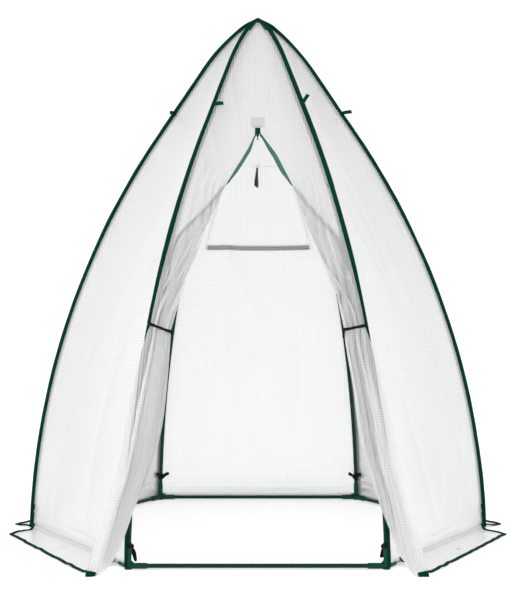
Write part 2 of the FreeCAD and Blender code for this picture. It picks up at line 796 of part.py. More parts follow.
def roll_tie():
    """A doubled strap that hangs inside the rear wall from above the window."""
    film = size("roll_tie_film")
    top = size("lintel_height") + size("roll_tie_rise")
    out = wall_distance(top, size("cover_offset")) - size("film") - 1.0
    depths = {"long": film, "short": 2 * film + size("roll_tie_gap")}
    legs = []
    for leg, depth in depths.items():
        corner = Vector(out - depth, -size("roll_tie_width") / 2, top - size(f"roll_tie_{leg}"))
        height = f"roll_tie_{leg}"
        name = f"roll_tie_{leg}_leg"
        legs.append(box_at(name, corner, Length="roll_tie_film", Width="roll_tie_width", Height=height))
    fold_corner = Vector(out - depths["short"], -size("roll_tie_width") / 2, top - size("roll_tie_fold"))
    fold_depth = "2 * roll_tie_film + roll_tie_gap"
    fold_size = {"Length": fold_depth, "Width": "roll_tie_width", "Height": "roll_tie_fold"}
    fold = box_at("roll_tie_fold", fold_corner, **fold_size)
    keep("window_roll_tie", fused("window_roll_tie", legs + [fold]), side_place("rear"))


def guy_loops():
    """A flattened webbing loop stands out from each seam."""
    loops = []
    web = size("loop_web")
    out = size("cover_offset") + size("binding_width") + 0.4
    root = Vector(line_radius(size("loop_height"), out), 0, size("loop_height"))
    outside_corner = Vector(0, -size("loop_thickness") / 2, -size("loop_width") / 2)
    inside_corner = outside_corner + Vector(2 * web, web, 0)
    long = "loop_length - 3 * loop_web"
    wide = "loop_thickness - 2 * loop_web"
    for corner, azimuth in CORNERS.items():
        name = f"guy_loop_{corner}"
        outside = box_at(
            f"{name}_out",
            outside_corner,
            Length="loop_length",
            Width="loop_thickness",
            Height="loop_width",
        )
        inside = box_at(f"{name}_in", inside_corner, Length=long, Width=wide, Height="loop_width")
        loop = cut(name, outside, inside)
        loop.Placement = turned(azimuth) * Placement(root, Rotation(ALONG_Y, -size("bow_end_lean")))
        loops.append(loop)
    grouped("guy_loops", loops)


def foot_ribbons():
    """A ribbon is knotted round the foot of each rib, with its knot and two tails on the inside."""
    ribbons = []
    lean = bow_lean(size("ribbon_height"))
    low = UP * (-size("ribbon_width") / 2)
    knot_at = ALONG_X * -(size("ribbon_radius") + size("ribbon_knot") / 2)
    for corner, azimuth in CORNERS.items():
        name = f"ribbon_{corner}"
        band = primitive("Cylinder", f"{name}_band", Placement(low, Rotation()))
        bind(band, Radius="ribbon_radius", Height="ribbon_width")
        knot_place = Placement(knot_at - ALONG_Y * size("ribbon_knot"), Rotation(ALONG_X, -90))
        knot = primitive("Cylinder", f"{name}_knot", knot_place)
        bind(knot, Radius="ribbon_knot", Height="ribbon_knot * 2")
        tails = []
        for side, sign in (("left", -1), ("right", 1)):
            hang = Placement(knot_at, Rotation(ALONG_X, 180 + sign * size("ribbon_splay")))
            shift = Placement(ALONG_Y * (-size("ribbon_width") / 4), Rotation())
            tail = primitive("Box", f"{name}_tail_{side}", hang * shift)
            bind(tail, Length="ribbon_film", Width="ribbon_width / 2", Height="ribbon_tail")
            tails.append(tail)
        solid = fused(f"{name}_solid", [band, knot] + tails)
        bore = primitive("Cylinder", f"{name}_bore", Placement(low, Rotation()))
        bind(bore, Radius="ribbon_bore", Height="ribbon_width")
        ribbon = cut(name, solid, bore)
        ribbon.Placement = turned(azimuth) * Placement(on_bow(lean), Rotation(ALONG_Y, -lean))
        ribbons.append(ribbon)
    grouped("foot_ribbons", ribbons)


# ---------------------------------------------------------------- build, test and write

for corner, azimuth in CORNERS.items():
    corner_connector(corner, azimuth)
    lower_rib(corner, azimuth)
    upper_rib(corner, azimuth)
for side, azimuth in SIDES.items():
    base_tube(side, azimuth)
apex_hub()
rib_ferrules()
walls()
apex_cap()
seam_bindings()
skirts()
for side, sign in (("left", -1), ("right", 1)):
    door_upper(f"door_upper_{side}", sign)
    door_tail(f"door_tail_{side}", sign)
    tie_back(side, sign)
    zip_tape(f"zip_tape_{side}", sign)
zip_patch()
zip_slider()
zip_pull()
vent_window()
roll_tie()
guy_loops()
foot_ribbons()

document.recompute()
failed = [thing.Label for thing in document.Objects if {"Invalid", "Error"} & set(thing.State)]
failed += [name for name, thing in nodes.items() if thing.Shape.isNull() or not thing.Shape.isValid()]
if failed:
    raise RuntimeError(f"these didn't build: {failed}")
os.makedirs("parts", exist_ok=True)
for name, thing in nodes.items():
    thing.Shape.exportStep(f"parts/{name}.step")
print(len(nodes), "sub-parts written")
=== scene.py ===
"""The looks of a walk-in hexagonal greenhouse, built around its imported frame. Metres, +Z up, the doorway faces -Y."""
from math import atan, copysign, cos, exp, hypot, pi, radians, sin, sqrt, tan

import bmesh
import bpy
from mathutils import Matrix, Vector, noise


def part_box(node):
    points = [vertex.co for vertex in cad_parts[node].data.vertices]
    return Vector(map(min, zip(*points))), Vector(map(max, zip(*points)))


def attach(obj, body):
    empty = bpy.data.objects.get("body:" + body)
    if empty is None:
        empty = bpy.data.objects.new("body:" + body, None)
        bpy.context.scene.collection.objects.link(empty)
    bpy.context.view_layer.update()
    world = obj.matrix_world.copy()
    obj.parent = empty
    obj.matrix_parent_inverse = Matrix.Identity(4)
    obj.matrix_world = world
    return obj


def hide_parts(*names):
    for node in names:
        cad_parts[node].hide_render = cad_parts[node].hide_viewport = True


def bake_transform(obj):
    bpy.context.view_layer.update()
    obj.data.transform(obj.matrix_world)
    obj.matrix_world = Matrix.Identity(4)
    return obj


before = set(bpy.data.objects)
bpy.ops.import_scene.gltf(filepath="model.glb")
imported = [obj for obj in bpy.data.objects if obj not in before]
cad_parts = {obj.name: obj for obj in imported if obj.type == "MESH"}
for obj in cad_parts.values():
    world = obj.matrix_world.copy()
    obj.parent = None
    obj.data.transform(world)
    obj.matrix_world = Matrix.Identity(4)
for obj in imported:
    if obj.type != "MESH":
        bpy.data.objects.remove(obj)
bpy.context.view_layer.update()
ROOT = "frame_and_cover"

# ---- the line that ribs and cover share

CORNER_RADIUS = 0.938
BASE_HEIGHT = 0.012
FOOT_LEAN = radians(2)
BOW_RADIUS = 3.1
BOW_END = radians(34.2)
STRAIGHT = 0.34
CROWN_RADIUS = 0.8
FILM_OFFSET = 0.0095
HEM = 0.008
ZIP_TOP = 1.64
TIE = 0.873
COS_30 = cos(radians(30))
UPWARDS = Vector((0, 0, 1))
BOW_X = CORNER_RADIUS - BOW_RADIUS * cos(FOOT_LEAN)
BOW_Z = BASE_HEIGHT - BOW_RADIUS * sin(FOOT_LEAN)
BOW_LENGTH = BOW_RADIUS * (BOW_END - FOOT_LEAN)

CORNERS = {"front_left": -120, "front_right": -60, "right": 0, "rear_right": 60, "rear_left": 120, "left": 180}
SIDES = {"front": -90, "front_right": -30, "rear_right": 30, "rear": 90, "rear_left": 150, "front_left": -150}

FRONT, REAR = SIDES["front"], SIDES["rear"]
FRONT_SEED, REAR_SEED = 9, 3


def line(s, offset=0.0):
    """Radius, height and lean of the rib line, set off outwards, at arc length s from the foot."""
    if s <= BOW_LENGTH:
        lean = FOOT_LEAN + s / BOW_RADIUS
        reach = BOW_RADIUS + offset
        return BOW_X + reach * cos(lean), BOW_Z + reach * sin(lean), lean
    along = min(s - BOW_LENGTH, STRAIGHT)
    x = BOW_X + BOW_RADIUS * cos(BOW_END) - sin(BOW_END) * along
    z = BOW_Z + BOW_RADIUS * sin(BOW_END) + cos(BOW_END) * along
    rest = s - BOW_LENGTH - STRAIGHT
    if rest <= 0:
        return x + offset * cos(BOW_END), z + offset * sin(BOW_END), BOW_END
    x -= CROWN_RADIUS * cos(BOW_END)
    z -= CROWN_RADIUS * sin(BOW_END)
    lean = BOW_END + rest / CROWN_RADIUS
    reach = CROWN_RADIUS + offset
    return x + reach * cos(lean), z + reach * sin(lean), lean


def solve(function, target, low, high):
    """Where a rising function of one number meets its target, by halving."""
    for _ in range(40):
        middle = (low + high) / 2
        if function(middle) < target:
            low = middle
        else:
            high = middle
    return (low + high) / 2


def s_at_height(z, offset=FILM_OFFSET):
    return solve(lambda s: line(s, offset)[1], z, -0.1, 2.6)


def s_at_radius(radius, offset=FILM_OFFSET):
    return solve(lambda s: -line(s, offset)[0], -radius, -0.1, 2.6)


def gore(start, end, rows=100):
    """Length and area, cut flat, of one whole side between two places on the rib line."""
    stations = [line(start + (end - start) * i / rows, FILM_OFFSET) for i in range(rows + 1)]
    length = area = 0.0
    for (r0, z0, _), (r1, z1, _) in zip(stations, stations[1:]):
        step = hypot((r0 - r1) * COS_30, z1 - z0)
        length += step
        area += step * (r0 + r1) / 2
    return length, area


def outwards(azimuth):
    a = radians(azimuth)
    return Vector((cos(a), sin(a), 0))


def across_of(azimuth):
    a = radians(azimuth)
    return Vector((-sin(a), cos(a), 0))


def rib_axes(azimuth, s, offset=FILM_OFFSET):
    """A point of a corner's rib line, set off outwards, with the ways out from it and up along it."""
    r, z, lean = line(s, offset)
    out = outwards(azimuth) * cos(lean) + UPWARDS * sin(lean)
    up = UPWARDS * cos(lean) - outwards(azimuth) * sin(lean)
    return outwards(azimuth) * r + UPWARDS * z, out, up


def smooth(x, low=0.0, high=1.0):
    t = min(max((x - low) / (high - low), 0), 1)
    return t * t * (3 - 2 * t)


def mix(a, b, t):
    return a + (b - a) * t


def wander(x, y, z):
    """Smooth noise, from about -1 to 1."""
    return noise.noise(Vector((x, y, z)))


def through(knots, x):
    """A smooth curve through (x, value) knots, where the value is a number or a Vector."""
    if x <= knots[0][0]:
        return knots[0][1]
    if x >= knots[-1][0]:
        return knots[-1][1]
    i = max(k for k in range(len(knots) - 1) if knots[k][0] <= x)
    (x0, v0), (x1, v1) = knots[i], knots[i + 1]
    before = knots[i - 1] if i else knots[i]
    after = knots[i + 2] if i + 2 < len(knots) else knots[i + 1]
    m0 = (v1 - before[1]) * ((x1 - x0) / (x1 - before[0]))
    m1 = (after[1] - v0) * ((x1 - x0) / (after[0] - x0))
    t = (x - x0) / (x1 - x0)
    return (
        v0 * (2 * t**3 - 3 * t**2 + 1)
        + m0 * (t**3 - 2 * t**2 + t)
        + v1 * (3 * t**2 - 2 * t**3)
        + m1 * (t**3 - t**2)
    )


# ---- meshes


def in_scene(name, data):
    thing = bpy.data.objects.new(name, data)
    bpy.context.scene.collection.objects.link(thing)
    return thing


def new_object(name, mesh, body, material, replaces=()):
    """A visible piece on its body, with its material and the CAD nodes that it stands for."""
    piece = in_scene(name, mesh)
    mesh.materials.append(material)
    if body is not None:
        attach(piece, body)
    if replaces:
        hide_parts(*replaces)
    return piece


def grid_mesh(name, rows, coordinates, closed=False, skip=None):
    """A quad mesh on rows of points, with the (u, v) of each point in metres. skip leaves out a quad."""
    mesh = bpy.data.meshes.new(name)
    wide = len(rows[0])
    points = [point for row in rows for point in row]
    flat = [pair for row in coordinates for pair in row]
    faces = []
    for i in range(len(rows) - 1):
        for j in range(wide if closed else wide - 1):
            if skip is not None and skip(i, j):
                continue
            k = (j + 1) % wide
            faces.append((i * wide + j, i * wide + k, (i + 1) * wide + k, (i + 1) * wide + j))
    mesh.from_pydata([tuple(point) for point in points], [], faces)
    layer = mesh.uv_layers.new(name="UVMap")
    for polygon in mesh.polygons:
        for loop in polygon.loop_indices:
            layer.data[loop].uv = flat[mesh.loops[loop].vertex_index]
        polygon.use_smooth = True
    used = {v for polygon in mesh.polygons for v in polygon.vertices}
    if len(used) < len(points):
        work = bmesh.new()
        work.from_mesh(mesh)
        bmesh.ops.delete(work, geom=[v for v in work.verts if not v.link_faces], context="VERTS")
        work.to_mesh(mesh)
        work.free()
    return mesh


def surface(name, rows, columns, at, closed=False, skip=None):
    """A grid mesh whose point and (u, v) in row i and column j are at(i, j)."""
    grid = [[at(i, j) for j in range(columns + (not closed))] for i in range(rows + 1)]
    points = [[point for point, _ in row] for row in grid]
    return grid_mesh(name, points, [[pair for _, pair in row] for row in grid], closed, skip)


def bead_mesh(name, places, subdivisions=1):
    """Small ellipsoids, for stitches and zip teeth, from the matrix of each one."""
    work = bmesh.new()
    for place in places:
        bmesh.ops.create_icosphere(work, subdivisions=subdivisions, radius=1, matrix=place)
    mesh = bpy.data.meshes.new(name)
    work.to_mesh(mesh)
    work.free()
    mesh.uv_layers.new(name="UVMap")
    for polygon in mesh.polygons:
        polygon.use_smooth = True
    return mesh


def swept(name, path, sides, section):
    """A closed tube swept along a path. sides gives its width's way at each step, section its outline."""
    rows = []
    uvs = []
    length = 0.0
    for i, point in enumerate(path):
        if i:
            length += (point - path[i - 1]).length
        ahead = (path[min(i + 1, len(path) - 1)] - path[max(i - 1, 0)]).normalized()
        side = sides(i, ahead)
        side = (side - ahead * side.dot(ahead)).normalized()
        up = ahead.cross(side)
        outline = section(i / (len(path) - 1))
        rows.append([point + side * a + up * b for a, b in outline])
        uvs.append([(k * 0.004, length) for k in range(len(outline))])
    mesh = grid_mesh(name, rows, uvs, closed=True)
    work = bmesh.new()
    work.from_mesh(mesh)
    work.verts.ensure_lookup_table()
    wide = len(rows[0])
    work.faces.new([work.verts[k] for k in reversed(range(wide))])
    last = len(work.verts) - wide
    work.faces.new([work.verts[last + k] for k in range(wide)])
    bmesh.ops.recalc_face_normals(work, faces=work.faces)
    work.to_mesh(mesh)
    work.free()
    return mesh


def flat_oval(half_width, half_thick, steps=10, power=0.5):
    """A rounded flat section, for tapes and ribbons."""
    points = []
    for k in range(steps):
        a = 2 * pi * k / steps
        x = copysign(abs(cos(a)) ** power, cos(a)) * half_width
        y = copysign(abs(sin(a)) ** power, sin(a)) * half_thick
        points.append((x, y))
    return points


# ---- materials


class Nodes:
    """Short calls for building one material's node tree."""

    def __init__(self, name):
        self.material = bpy.data.materials.new(name)
        self.material.use_nodes = True
        self.tree = self.material.node_tree
        self.tree.nodes.clear()

    def add(self, kind, **inputs):
        node = self.tree.nodes.new("ShaderNode" + kind)
        for key, value in inputs.items():
            self.set(node.inputs[key.replace("_", " ")], value)
        return node

    def set(self, socket, value):
        if isinstance(value, bpy.types.NodeSocket):
            self.tree.links.new(value, socket)
        else:
            socket.default_value = value

    def math(self, operation, a, b=0.0, c=0.0):
        node = self.add("Math")
        node.operation = operation
        for socket, value in zip(node.inputs, (a, b, c)):
            self.set(socket, value)
        return node.outputs[0]

    def uv(self):
        node = self.add("UVMap")
        node.uv_map = "UVMap"
        return node.outputs[0]

    def object_coordinates(self):
        return self.add("TexCoord").outputs["Object"]

    def split(self, vector):
        node = self.add("SeparateXYZ", Vector=vector)
        return node.outputs[0], node.outputs[1], node.outputs[2]

    def stretched(self, vector, scale):
        node = self.add("Mapping", Vector=vector, Scale=scale)
        return node.outputs[0]

    def noise(self, vector, scale, detail=2.0, roughness=0.5):
        node = self.add("TexNoise", Vector=vector, Scale=scale, Detail=detail, Roughness=roughness)
        return node.outputs["Fac"]

    def ramp(self, value, low, high, start=0.0, end=1.0):
        node = self.add("MapRange")
        for socket, number in zip(node.inputs, (value, low, high, start, end)):
            self.set(socket, number)
        return node.outputs[0]

    def colour(self, factor, a, b):
        node = self.add("Mix")
        node.data_type = "RGBA"
        self.set(node.inputs[0], factor)
        self.set(node.inputs[6], a)
        self.set(node.inputs[7], b)
        return node.outputs[2]

    def bump(self, height, distance, strength=1.0):
        return self.add("Bump", Height=height, Distance=distance, Strength=strength).outputs[0]

    def blend(self, factor, a, b):
        node = self.add("MixShader")
        self.set(node.inputs[0], factor)
        self.tree.links.new(a, node.inputs[1])
        self.tree.links.new(b, node.inputs[2])
        return node.outputs[0]

    def finish(self, shader):
        output = self.add("OutputMaterial")
        self.tree.links.new(shader, output.inputs[0])
        return self.material


GRID_PITCH = 0.010


def grey(level):
    return level, level, level, 1


def thread_lines(nodes, coordinate, pitch, width):
    """1 on the threads of one direction, 0 between them."""
    phase = nodes.math("FRACT", nodes.math("DIVIDE", coordinate, pitch))
    off = nodes.math("ABSOLUTE", nodes.math("SUBTRACT", phase, 0.5))
    edge = 0.5 * width / pitch
    return nodes.ramp(off, edge * 0.7, edge * 1.3, 1.0, 0.0)


def film_material(name, seen=0.70, cell=0.78, thread=0.97):
    """Polyethylene film over a square grid of white threads. Between the threads it is hazy: what touches it shows,
    what is further behind is lost."""
    nodes = Nodes(name)
    uv = nodes.uv()
    u, v, _ = nodes.split(uv)
    wobble = nodes.math("MULTIPLY", nodes.math("SUBTRACT", nodes.noise(uv, 9.0), 0.5), 0.004)
    u_lines = thread_lines(nodes, nodes.math("ADD", u, wobble), GRID_PITCH, 0.0028)
    v_lines = thread_lines(nodes, nodes.math("ADD", v, wobble), GRID_PITCH, 0.0030)
    threads = nodes.math("MAXIMUM", u_lines, v_lines)
    crossings = nodes.math("MULTIPLY", u_lines, v_lines)
    fine = nodes.noise(uv, 160.0, 2.0)
    height = nodes.math("ADD", threads, nodes.math("MULTIPLY", crossings, 0.6))
    height = nodes.math("ADD", height, nodes.math("MULTIPLY", fine, 0.25))
    normal = nodes.bump(height, 0.0004, 0.7)
    shade = nodes.ramp(nodes.noise(uv, 3.0, 4.0), 0.3, 0.7, 0.0, 1.0)
    cloudy = nodes.colour(shade, grey(cell - 0.03), grey(cell))
    colour = nodes.colour(threads, cloudy, grey(thread))
    front = nodes.add("BsdfDiffuse", Color=colour, Normal=normal)
    behind = nodes.add("BsdfTranslucent", Color=colour, Normal=normal)
    hazy = nodes.add("BsdfRefraction", Color=grey(0.88), Roughness=0.68, IOR=1.3)
    gloss = nodes.add("BsdfGlossy", Color=grey(1), Roughness=0.30, Normal=normal)
    body = nodes.blend(0.42, front.outputs[0], behind.outputs[0])
    cells = nodes.blend(seen, body, hazy.outputs[0])
    cloth = nodes.blend(threads, cells, body)
    fresnel = nodes.add("Fresnel", IOR=1.42, Normal=normal).outputs[0]
    return nodes.finish(nodes.blend(nodes.math("MULTIPLY", fresnel, 0.8), cloth, gloss.outputs[0]))


def woven_material(name, dark, light, pitch=0.0011, rough=0.82):
    """Woven tape: a fine plain weave along the tape, a little uneven in colour."""
    nodes = Nodes(name)
    uv = nodes.uv()
    u, v, _ = nodes.split(uv)
    warp = nodes.math("SINE", nodes.math("MULTIPLY", u, 2 * pi / pitch))
    weft = nodes.math("SINE", nodes.math("MULTIPLY", v, 2 * pi / pitch))
    weave = nodes.math("MULTIPLY", warp, weft)
    patch = nodes.noise(uv, 22.0, 4.0)
    fuzz = nodes.noise(uv, 900.0, 2.0)
    shade = nodes.math("ADD", nodes.math("MULTIPLY", patch, 0.7), nodes.math("MULTIPLY", fuzz, 0.3))
    shade = nodes.math("ADD", shade, nodes.math("MULTIPLY", weave, 0.12))
    colour = nodes.colour(nodes.ramp(shade, 0.3, 0.75), dark, light)
    normal = nodes.bump(nodes.math("ADD", weave, fuzz), 0.0002, 0.7)
    roughness = nodes.ramp(patch, 0.3, 0.7, rough - 0.1, min(rough + 0.1, 1.0))
    cloth = nodes.add("BsdfPrincipled", Base_Color=colour, Roughness=roughness, Normal=normal)
    cloth.inputs["Specular IOR Level"].default_value = 0.05
    return nodes.finish(cloth.outputs[0])


def enamel_material(name, dark, light, rough=0.34, grain=420.0):
    """Powder-coated tube or moulded plastic: fine texture, faint colour drift and scuffed high spots."""
    nodes = Nodes(name)
    where = nodes.object_coordinates()
    drift = nodes.noise(where, 6.0, 3.0)
    fine = nodes.noise(where, grain, 3.0)
    scuff = nodes.noise(nodes.stretched(where, (30.0, 30.0, 4.0)), 3.0, 6.0, 0.7)
    worn = nodes.ramp(scuff, 0.66, 0.8, 0.0, 0.35)
    colour = nodes.colour(drift, dark, light)
    colour = nodes.colour(worn, colour, (light[0] + 0.02, light[1] + 0.04, light[2] + 0.03, 1))
    texture = nodes.ramp(fine, 0.3, 0.7, rough - 0.06, rough + 0.08)
    roughness = nodes.math("ADD", texture, nodes.math("MULTIPLY", worn, 0.4))
    normal = nodes.bump(fine, 0.00008, 0.6)
    paint = nodes.add("BsdfPrincipled", Base_Color=colour, Roughness=roughness, Normal=normal)
    paint.inputs["Specular IOR Level"].default_value = 0.16
    return nodes.finish(paint.outputs[0])


def metal_material(name, colour, rough=0.32):
    """Bare metal, drawn or pressed: a fine brushed grain and faintly duller spots."""
    nodes = Nodes(name)
    where = nodes.object_coordinates()
    brushed = nodes.noise(nodes.stretched(where, (900.0, 900.0, 60.0)), 1.0, 3.0)
    spots = nodes.noise(where, 60.0, 3.0)
    dull = (colour[0] * 0.75, colour[1] * 0.75, colour[2] * 0.78, 1)
    tone = nodes.colour(nodes.ramp(spots, 0.35, 0.7), colour, dull)
    roughness = nodes.ramp(brushed, 0.3, 0.7, rough - 0.08, rough + 0.12)
    normal = nodes.bump(brushed, 0.00005, 0.5)
    metal = nodes.add("BsdfPrincipled", Base_Color=tone, Roughness=roughness, Normal=normal)
    metal.inputs["Metallic"].default_value = 1.0
    return nodes.finish(metal.outputs[0])


FILM = film_material("cover_film")
SKIRT_FILM = film_material("skirt_film", seen=0.5, cell=0.76, thread=0.92)
PATCH_FILM = film_material("patch_film", seen=0.2, cell=0.70, thread=0.82)
BINDING = woven_material("binding_tape", (0.000, 0.030, 0.012, 1), (0.002, 0.052, 0.022, 1))
WEBBING = woven_material("loop_webbing", (0.000, 0.036, 0.015, 1), (0.003, 0.064, 0.030, 1), pitch=0.0016)
TAPE = woven_material("zip_tape_knit", (0.045, 0.15, 0.095, 1), (0.10, 0.24, 0.16, 1), pitch=0.0009)
RIBBON = woven_material("tie_ribbon", (0.008, 0.007, 0.007, 1), (0.022, 0.019, 0.020, 1), pitch=0.0009, rough=0.7)
HOOK = woven_material("hook_tape", grey(0.035), grey(0.09), pitch=0.0014)
GREY_TIE = woven_material("grey_tie_tape", grey(0.10), grey(0.22), pitch=0.0014)
STITCH = woven_material("stitch_thread", (0.002, 0.040, 0.018, 1), (0.01, 0.09, 0.045, 1), pitch=0.0006)
TUBE = enamel_material("tube_enamel", (0.000, 0.027, 0.011, 1), (0.001, 0.042, 0.018, 1), rough=0.36)
CONNECTOR = enamel_material(
    "connector_plastic", (0.000, 0.050, 0.021, 1), (0.001, 0.070, 0.030, 1), rough=0.45, grain=700.0
)
SLIDER = enamel_material("slider_enamel", (0.000, 0.034, 0.014, 1), (0.001, 0.050, 0.024, 1), rough=0.28)
STEEL = metal_material("drawn_steel", (0.62, 0.63, 0.64, 1))
EYELET = metal_material("eyelet_aluminium", (0.78, 0.79, 0.78, 1), 0.38)

NODE_MATERIALS = (
    ("rib_ferrules", STEEL),
    ("rib_", TUBE),
    ("base_tube_", TUBE),
    ("corner_connector_", CONNECTOR),
    ("apex_hub", CONNECTOR),
    ("zip_slider", SLIDER),
    ("zip_pull", SLIDER),
    ("skirt_eyelets", EYELET),
)
for node_name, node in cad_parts.items():
    for prefix, material in NODE_MATERIALS:
        if node_name.startswith(prefix):
            node.data.materials.clear()
            node.data.materials.append(material)
            break

# ---- cover panels


def crease(u, v, seed, amount):
    """How far a panel stands out or in at a point, from soft slanting creases and a broad unevenness."""
    broad = wander(u * 2.1, v * 0.9, seed * 7.3)
    slant = u * 5.0 + v * (0.9 + 0.5 * sin(seed * 2.1))
    ridge = 1 - abs(wander(slant, v * 0.7, seed * 3.1 + 5))
    counter = u * 3.6 - v * (1.5 + 0.4 * cos(seed * 1.7))
    fold = 1 - abs(wander(counter, v * 0.5, seed * 5.7 + 11))
    pucker = wander(u * 16, v * 5, seed * 1.9)
    return amount * (0.9 * broad + 1.5 * (ridge**9 - 0.3) + 1.1 * (fold**12 - 0.25) + 0.12 * pucker)


HEM_S = s_at_height(HEM)
APEX_S = s_at_radius(0.014)


def face_normal(azimuth, lean):
    slope = atan(tan(lean) * COS_30)
    return outwards(azimuth) * cos(slope) + UPWARDS * sin(slope)


def sag_of(c, z):
    """How far film between two ribs is drawn in, most at the middle of a side."""
    return -0.012 * (1 - c * c) * smooth(1 - abs(c), 0.01, 0.08) * smooth(z, 0.05, 0.6) * smooth(2.2 - z, 0.1, 0.7)


def ripple(c, z, seed):
    """Ripples, standing outwards only, where the film meets the ground over the base tube."""
    fade = smooth(z, 0.004, 0.03) * smooth(0.17 - z, 0.0, 0.12) * (1 - c**6)
    rise = z + 0.012 * wander(c * 3.1, seed * 2.2, 0.5)
    wave = 0.5 + 0.5 * sin(rise * 2 * pi / 0.034 + 1.5 * wander(c * 6.0, seed * 9.1, 2))
    patchy = 0.35 + 0.65 * smooth(wander(c * 2.3, z * 4, seed * 3.3), -0.4, 0.4)
    return 0.0125 * fade * wave * patchy


def zip_push(x, z):
    """The zip's head and its patch hold the front panel out a little."""
    return 0.0165 * exp(-((x / 0.06) ** 2) - ((z - 1.636) / 0.075) ** 2)


def cover_point(azimuth, s, c, seed):
    """A point of a cover side: s along the rib line, c from -1 to 1 across."""
    r, z, lean = line(s, FILM_OFFSET)
    across = c * r / 2
    edge = smooth(1 - abs(c), 0.02, 0.22) * smooth(z, 0.035, 0.15) * smooth(r, 0.04, 0.3)
    push = sag_of(c, z) + edge * crease(across, s - HEM_S, seed, 0.0045) + ripple(c, z, seed)
    if azimuth == FRONT:
        push += zip_push(across, z)
    base = outwards(azimuth) * (r * COS_30) + across_of(azimuth) * across + UPWARDS * z
    return base + face_normal(azimuth, lean) * push


def panel(name, side, start, rows, columns, seed, replaced, hole=None):
    """A closed side of the cover, from a place on the rib line up to the apex, with the window's hole or without."""
    azimuth = SIDES[side]
    levels = [mix(start, APEX_S, i / rows) for i in range(rows + 1)]
    middles = [line(s, FILM_OFFSET) for s in levels]
    length, area = gore(start, APEX_S)

    def at(i, j):
        across = (j / columns - 0.5) * middles[i][0]
        return cover_point(azimuth, levels[i], 2 * j / columns - 1, seed), (across, levels[i] - HEM_S + 0.003)

    skip = None
    if hole is not None:
        lowest, highest, half_low, half_high = hole

        def skip(i, j):
            z = (middles[i][1] + middles[i + 1][1]) / 2
            x = abs((j + 0.5) * 2 / columns - 1) * middles[i][0] / 2
            return lowest < z < highest and x < mix(half_low, half_high, (z - lowest) / (highest - lowest))

        area -= gore(s_at_height(lowest), s_at_height(highest))[0] * (half_low + half_high)
    piece = new_object(name, surface(name, rows, columns, at, skip=skip), ROOT, FILM, replaced)


SILL, LINTEL, SILL_HALF, LINTEL_HALF = 1.214, 1.567, 0.236, 0.130
for number, side in enumerate(("front_right", "rear_right", "rear", "rear_left", "front_left")):
    hole = (SILL, LINTEL, SILL_HALF, LINTEL_HALF) if side == "rear" else None
    panel(f"film_wall_{side}", side, HEM_S, 200, 90, number + 1, [f"wall_{side}"], hole)
panel("film_front_top", "front", s_at_height(ZIP_TOP), 60, 60, FRONT_SEED, ["front_top_panel"])

# ---- seam bindings


# how far each corner's binding has been folded over sideways, in radians, low down and near the apex
BINDING_LIES = {
    "front_left": (-0.95, -0.25),
    "front_right": (0.75, 0.95),
    "right": (0.15, 0.15),
    "rear_right": (0.5, 0.3),
    "rear_left": (-0.5, -0.3),
    "left": (-0.1, -0.1),
}


def seam_binding(corner, azimuth, seed):
    """A folded tape stitched over a seam: a flat hairpin section that stands out from it and wanders a little."""
    start, end = s_at_height(0.010), s_at_radius(0.0012)
    count = 170
    path = []
    ways = []
    for i in range(count + 1):
        s = mix(start, end, i / count)
        sway = 0.0022 * wander(s * 4.2, seed, 0.3)
        r, z, _ = line(s, FILM_OFFSET - 0.0012)
        seam, out, _ = rib_axes(azimuth, s, FILM_OFFSET - 0.0012)
        tilt = mix(*BINDING_LIES[corner], smooth(z, 0.9, 1.7)) * smooth(r, 0.02, 0.12) * smooth(z, -0.2, 0.8)
        tilt += 0.30 * wander(s * 4.5, seed * 5.1, 2.2) * smooth(r, 0.02, 0.12)
        way = out * cos(tilt) + across_of(azimuth) * sin(tilt)
        stand = (0.0078 + sway) * mix(0.30, 1.0, smooth(r, 0.001, 0.05))
        path.append(seam + way * stand)
        ways.append(way)

    def section(t):
        half = 0.0086 + 0.0008 * wander(t * 40, seed, 7.7)
        half += 0.0016 * smooth(abs(BINDING_LIES[corner][0]), 0.6, 0.7) * smooth(t, 0.3, 0.5)
        return flat_oval(half * mix(1.0, 0.45, smooth(t, 0.965, 1.0)), 0.0016, 12, 0.6)

    return swept(f"binding_{corner}", path, lambda i, _: ways[i], section)


for number, (corner, azimuth) in enumerate(CORNERS.items()):
    mesh = seam_binding(corner, azimuth, number + 1.3)
    replaced = ["seam_bindings"] if number == 0 else []
    new_object(f"seam_binding_{corner}", mesh, ROOT, BINDING, replaced)


def stitch_row(name, azimuth, side_shift):
    """A running stitch along a seam's binding."""
    start, end = s_at_height(0.03), s_at_radius(0.06)
    pitch = 0.009
    aside = across_of(azimuth) * side_shift
    places = []
    for i in range(int((end - start) / pitch)):
        s = start + i * pitch
        first = rib_axes(azimuth, s, FILM_OFFSET + 0.0015)[0] + aside
        second = rib_axes(azimuth, s + pitch * 0.62, FILM_OFFSET + 0.0015)[0] + aside
        turn = (second - first).normalized().to_track_quat("Z", "Y").to_matrix().to_4x4()
        size = Matrix.Diagonal((0.0005, 0.0005, (second - first).length / 2, 1))
        places.append(Matrix.Translation((first + second) / 2) @ turn @ size)
    return bead_mesh(name, places)


for corner, azimuth in CORNERS.items():
    for label, shift in (("a", 0.0019), ("b", -0.0019)):
        mesh = stitch_row(f"seam_stitch_{corner}_{label}", azimuth, shift)
        new_object(f"seam_stitch_{corner}_{label}", mesh, ROOT, STITCH)

# ---- apex cap


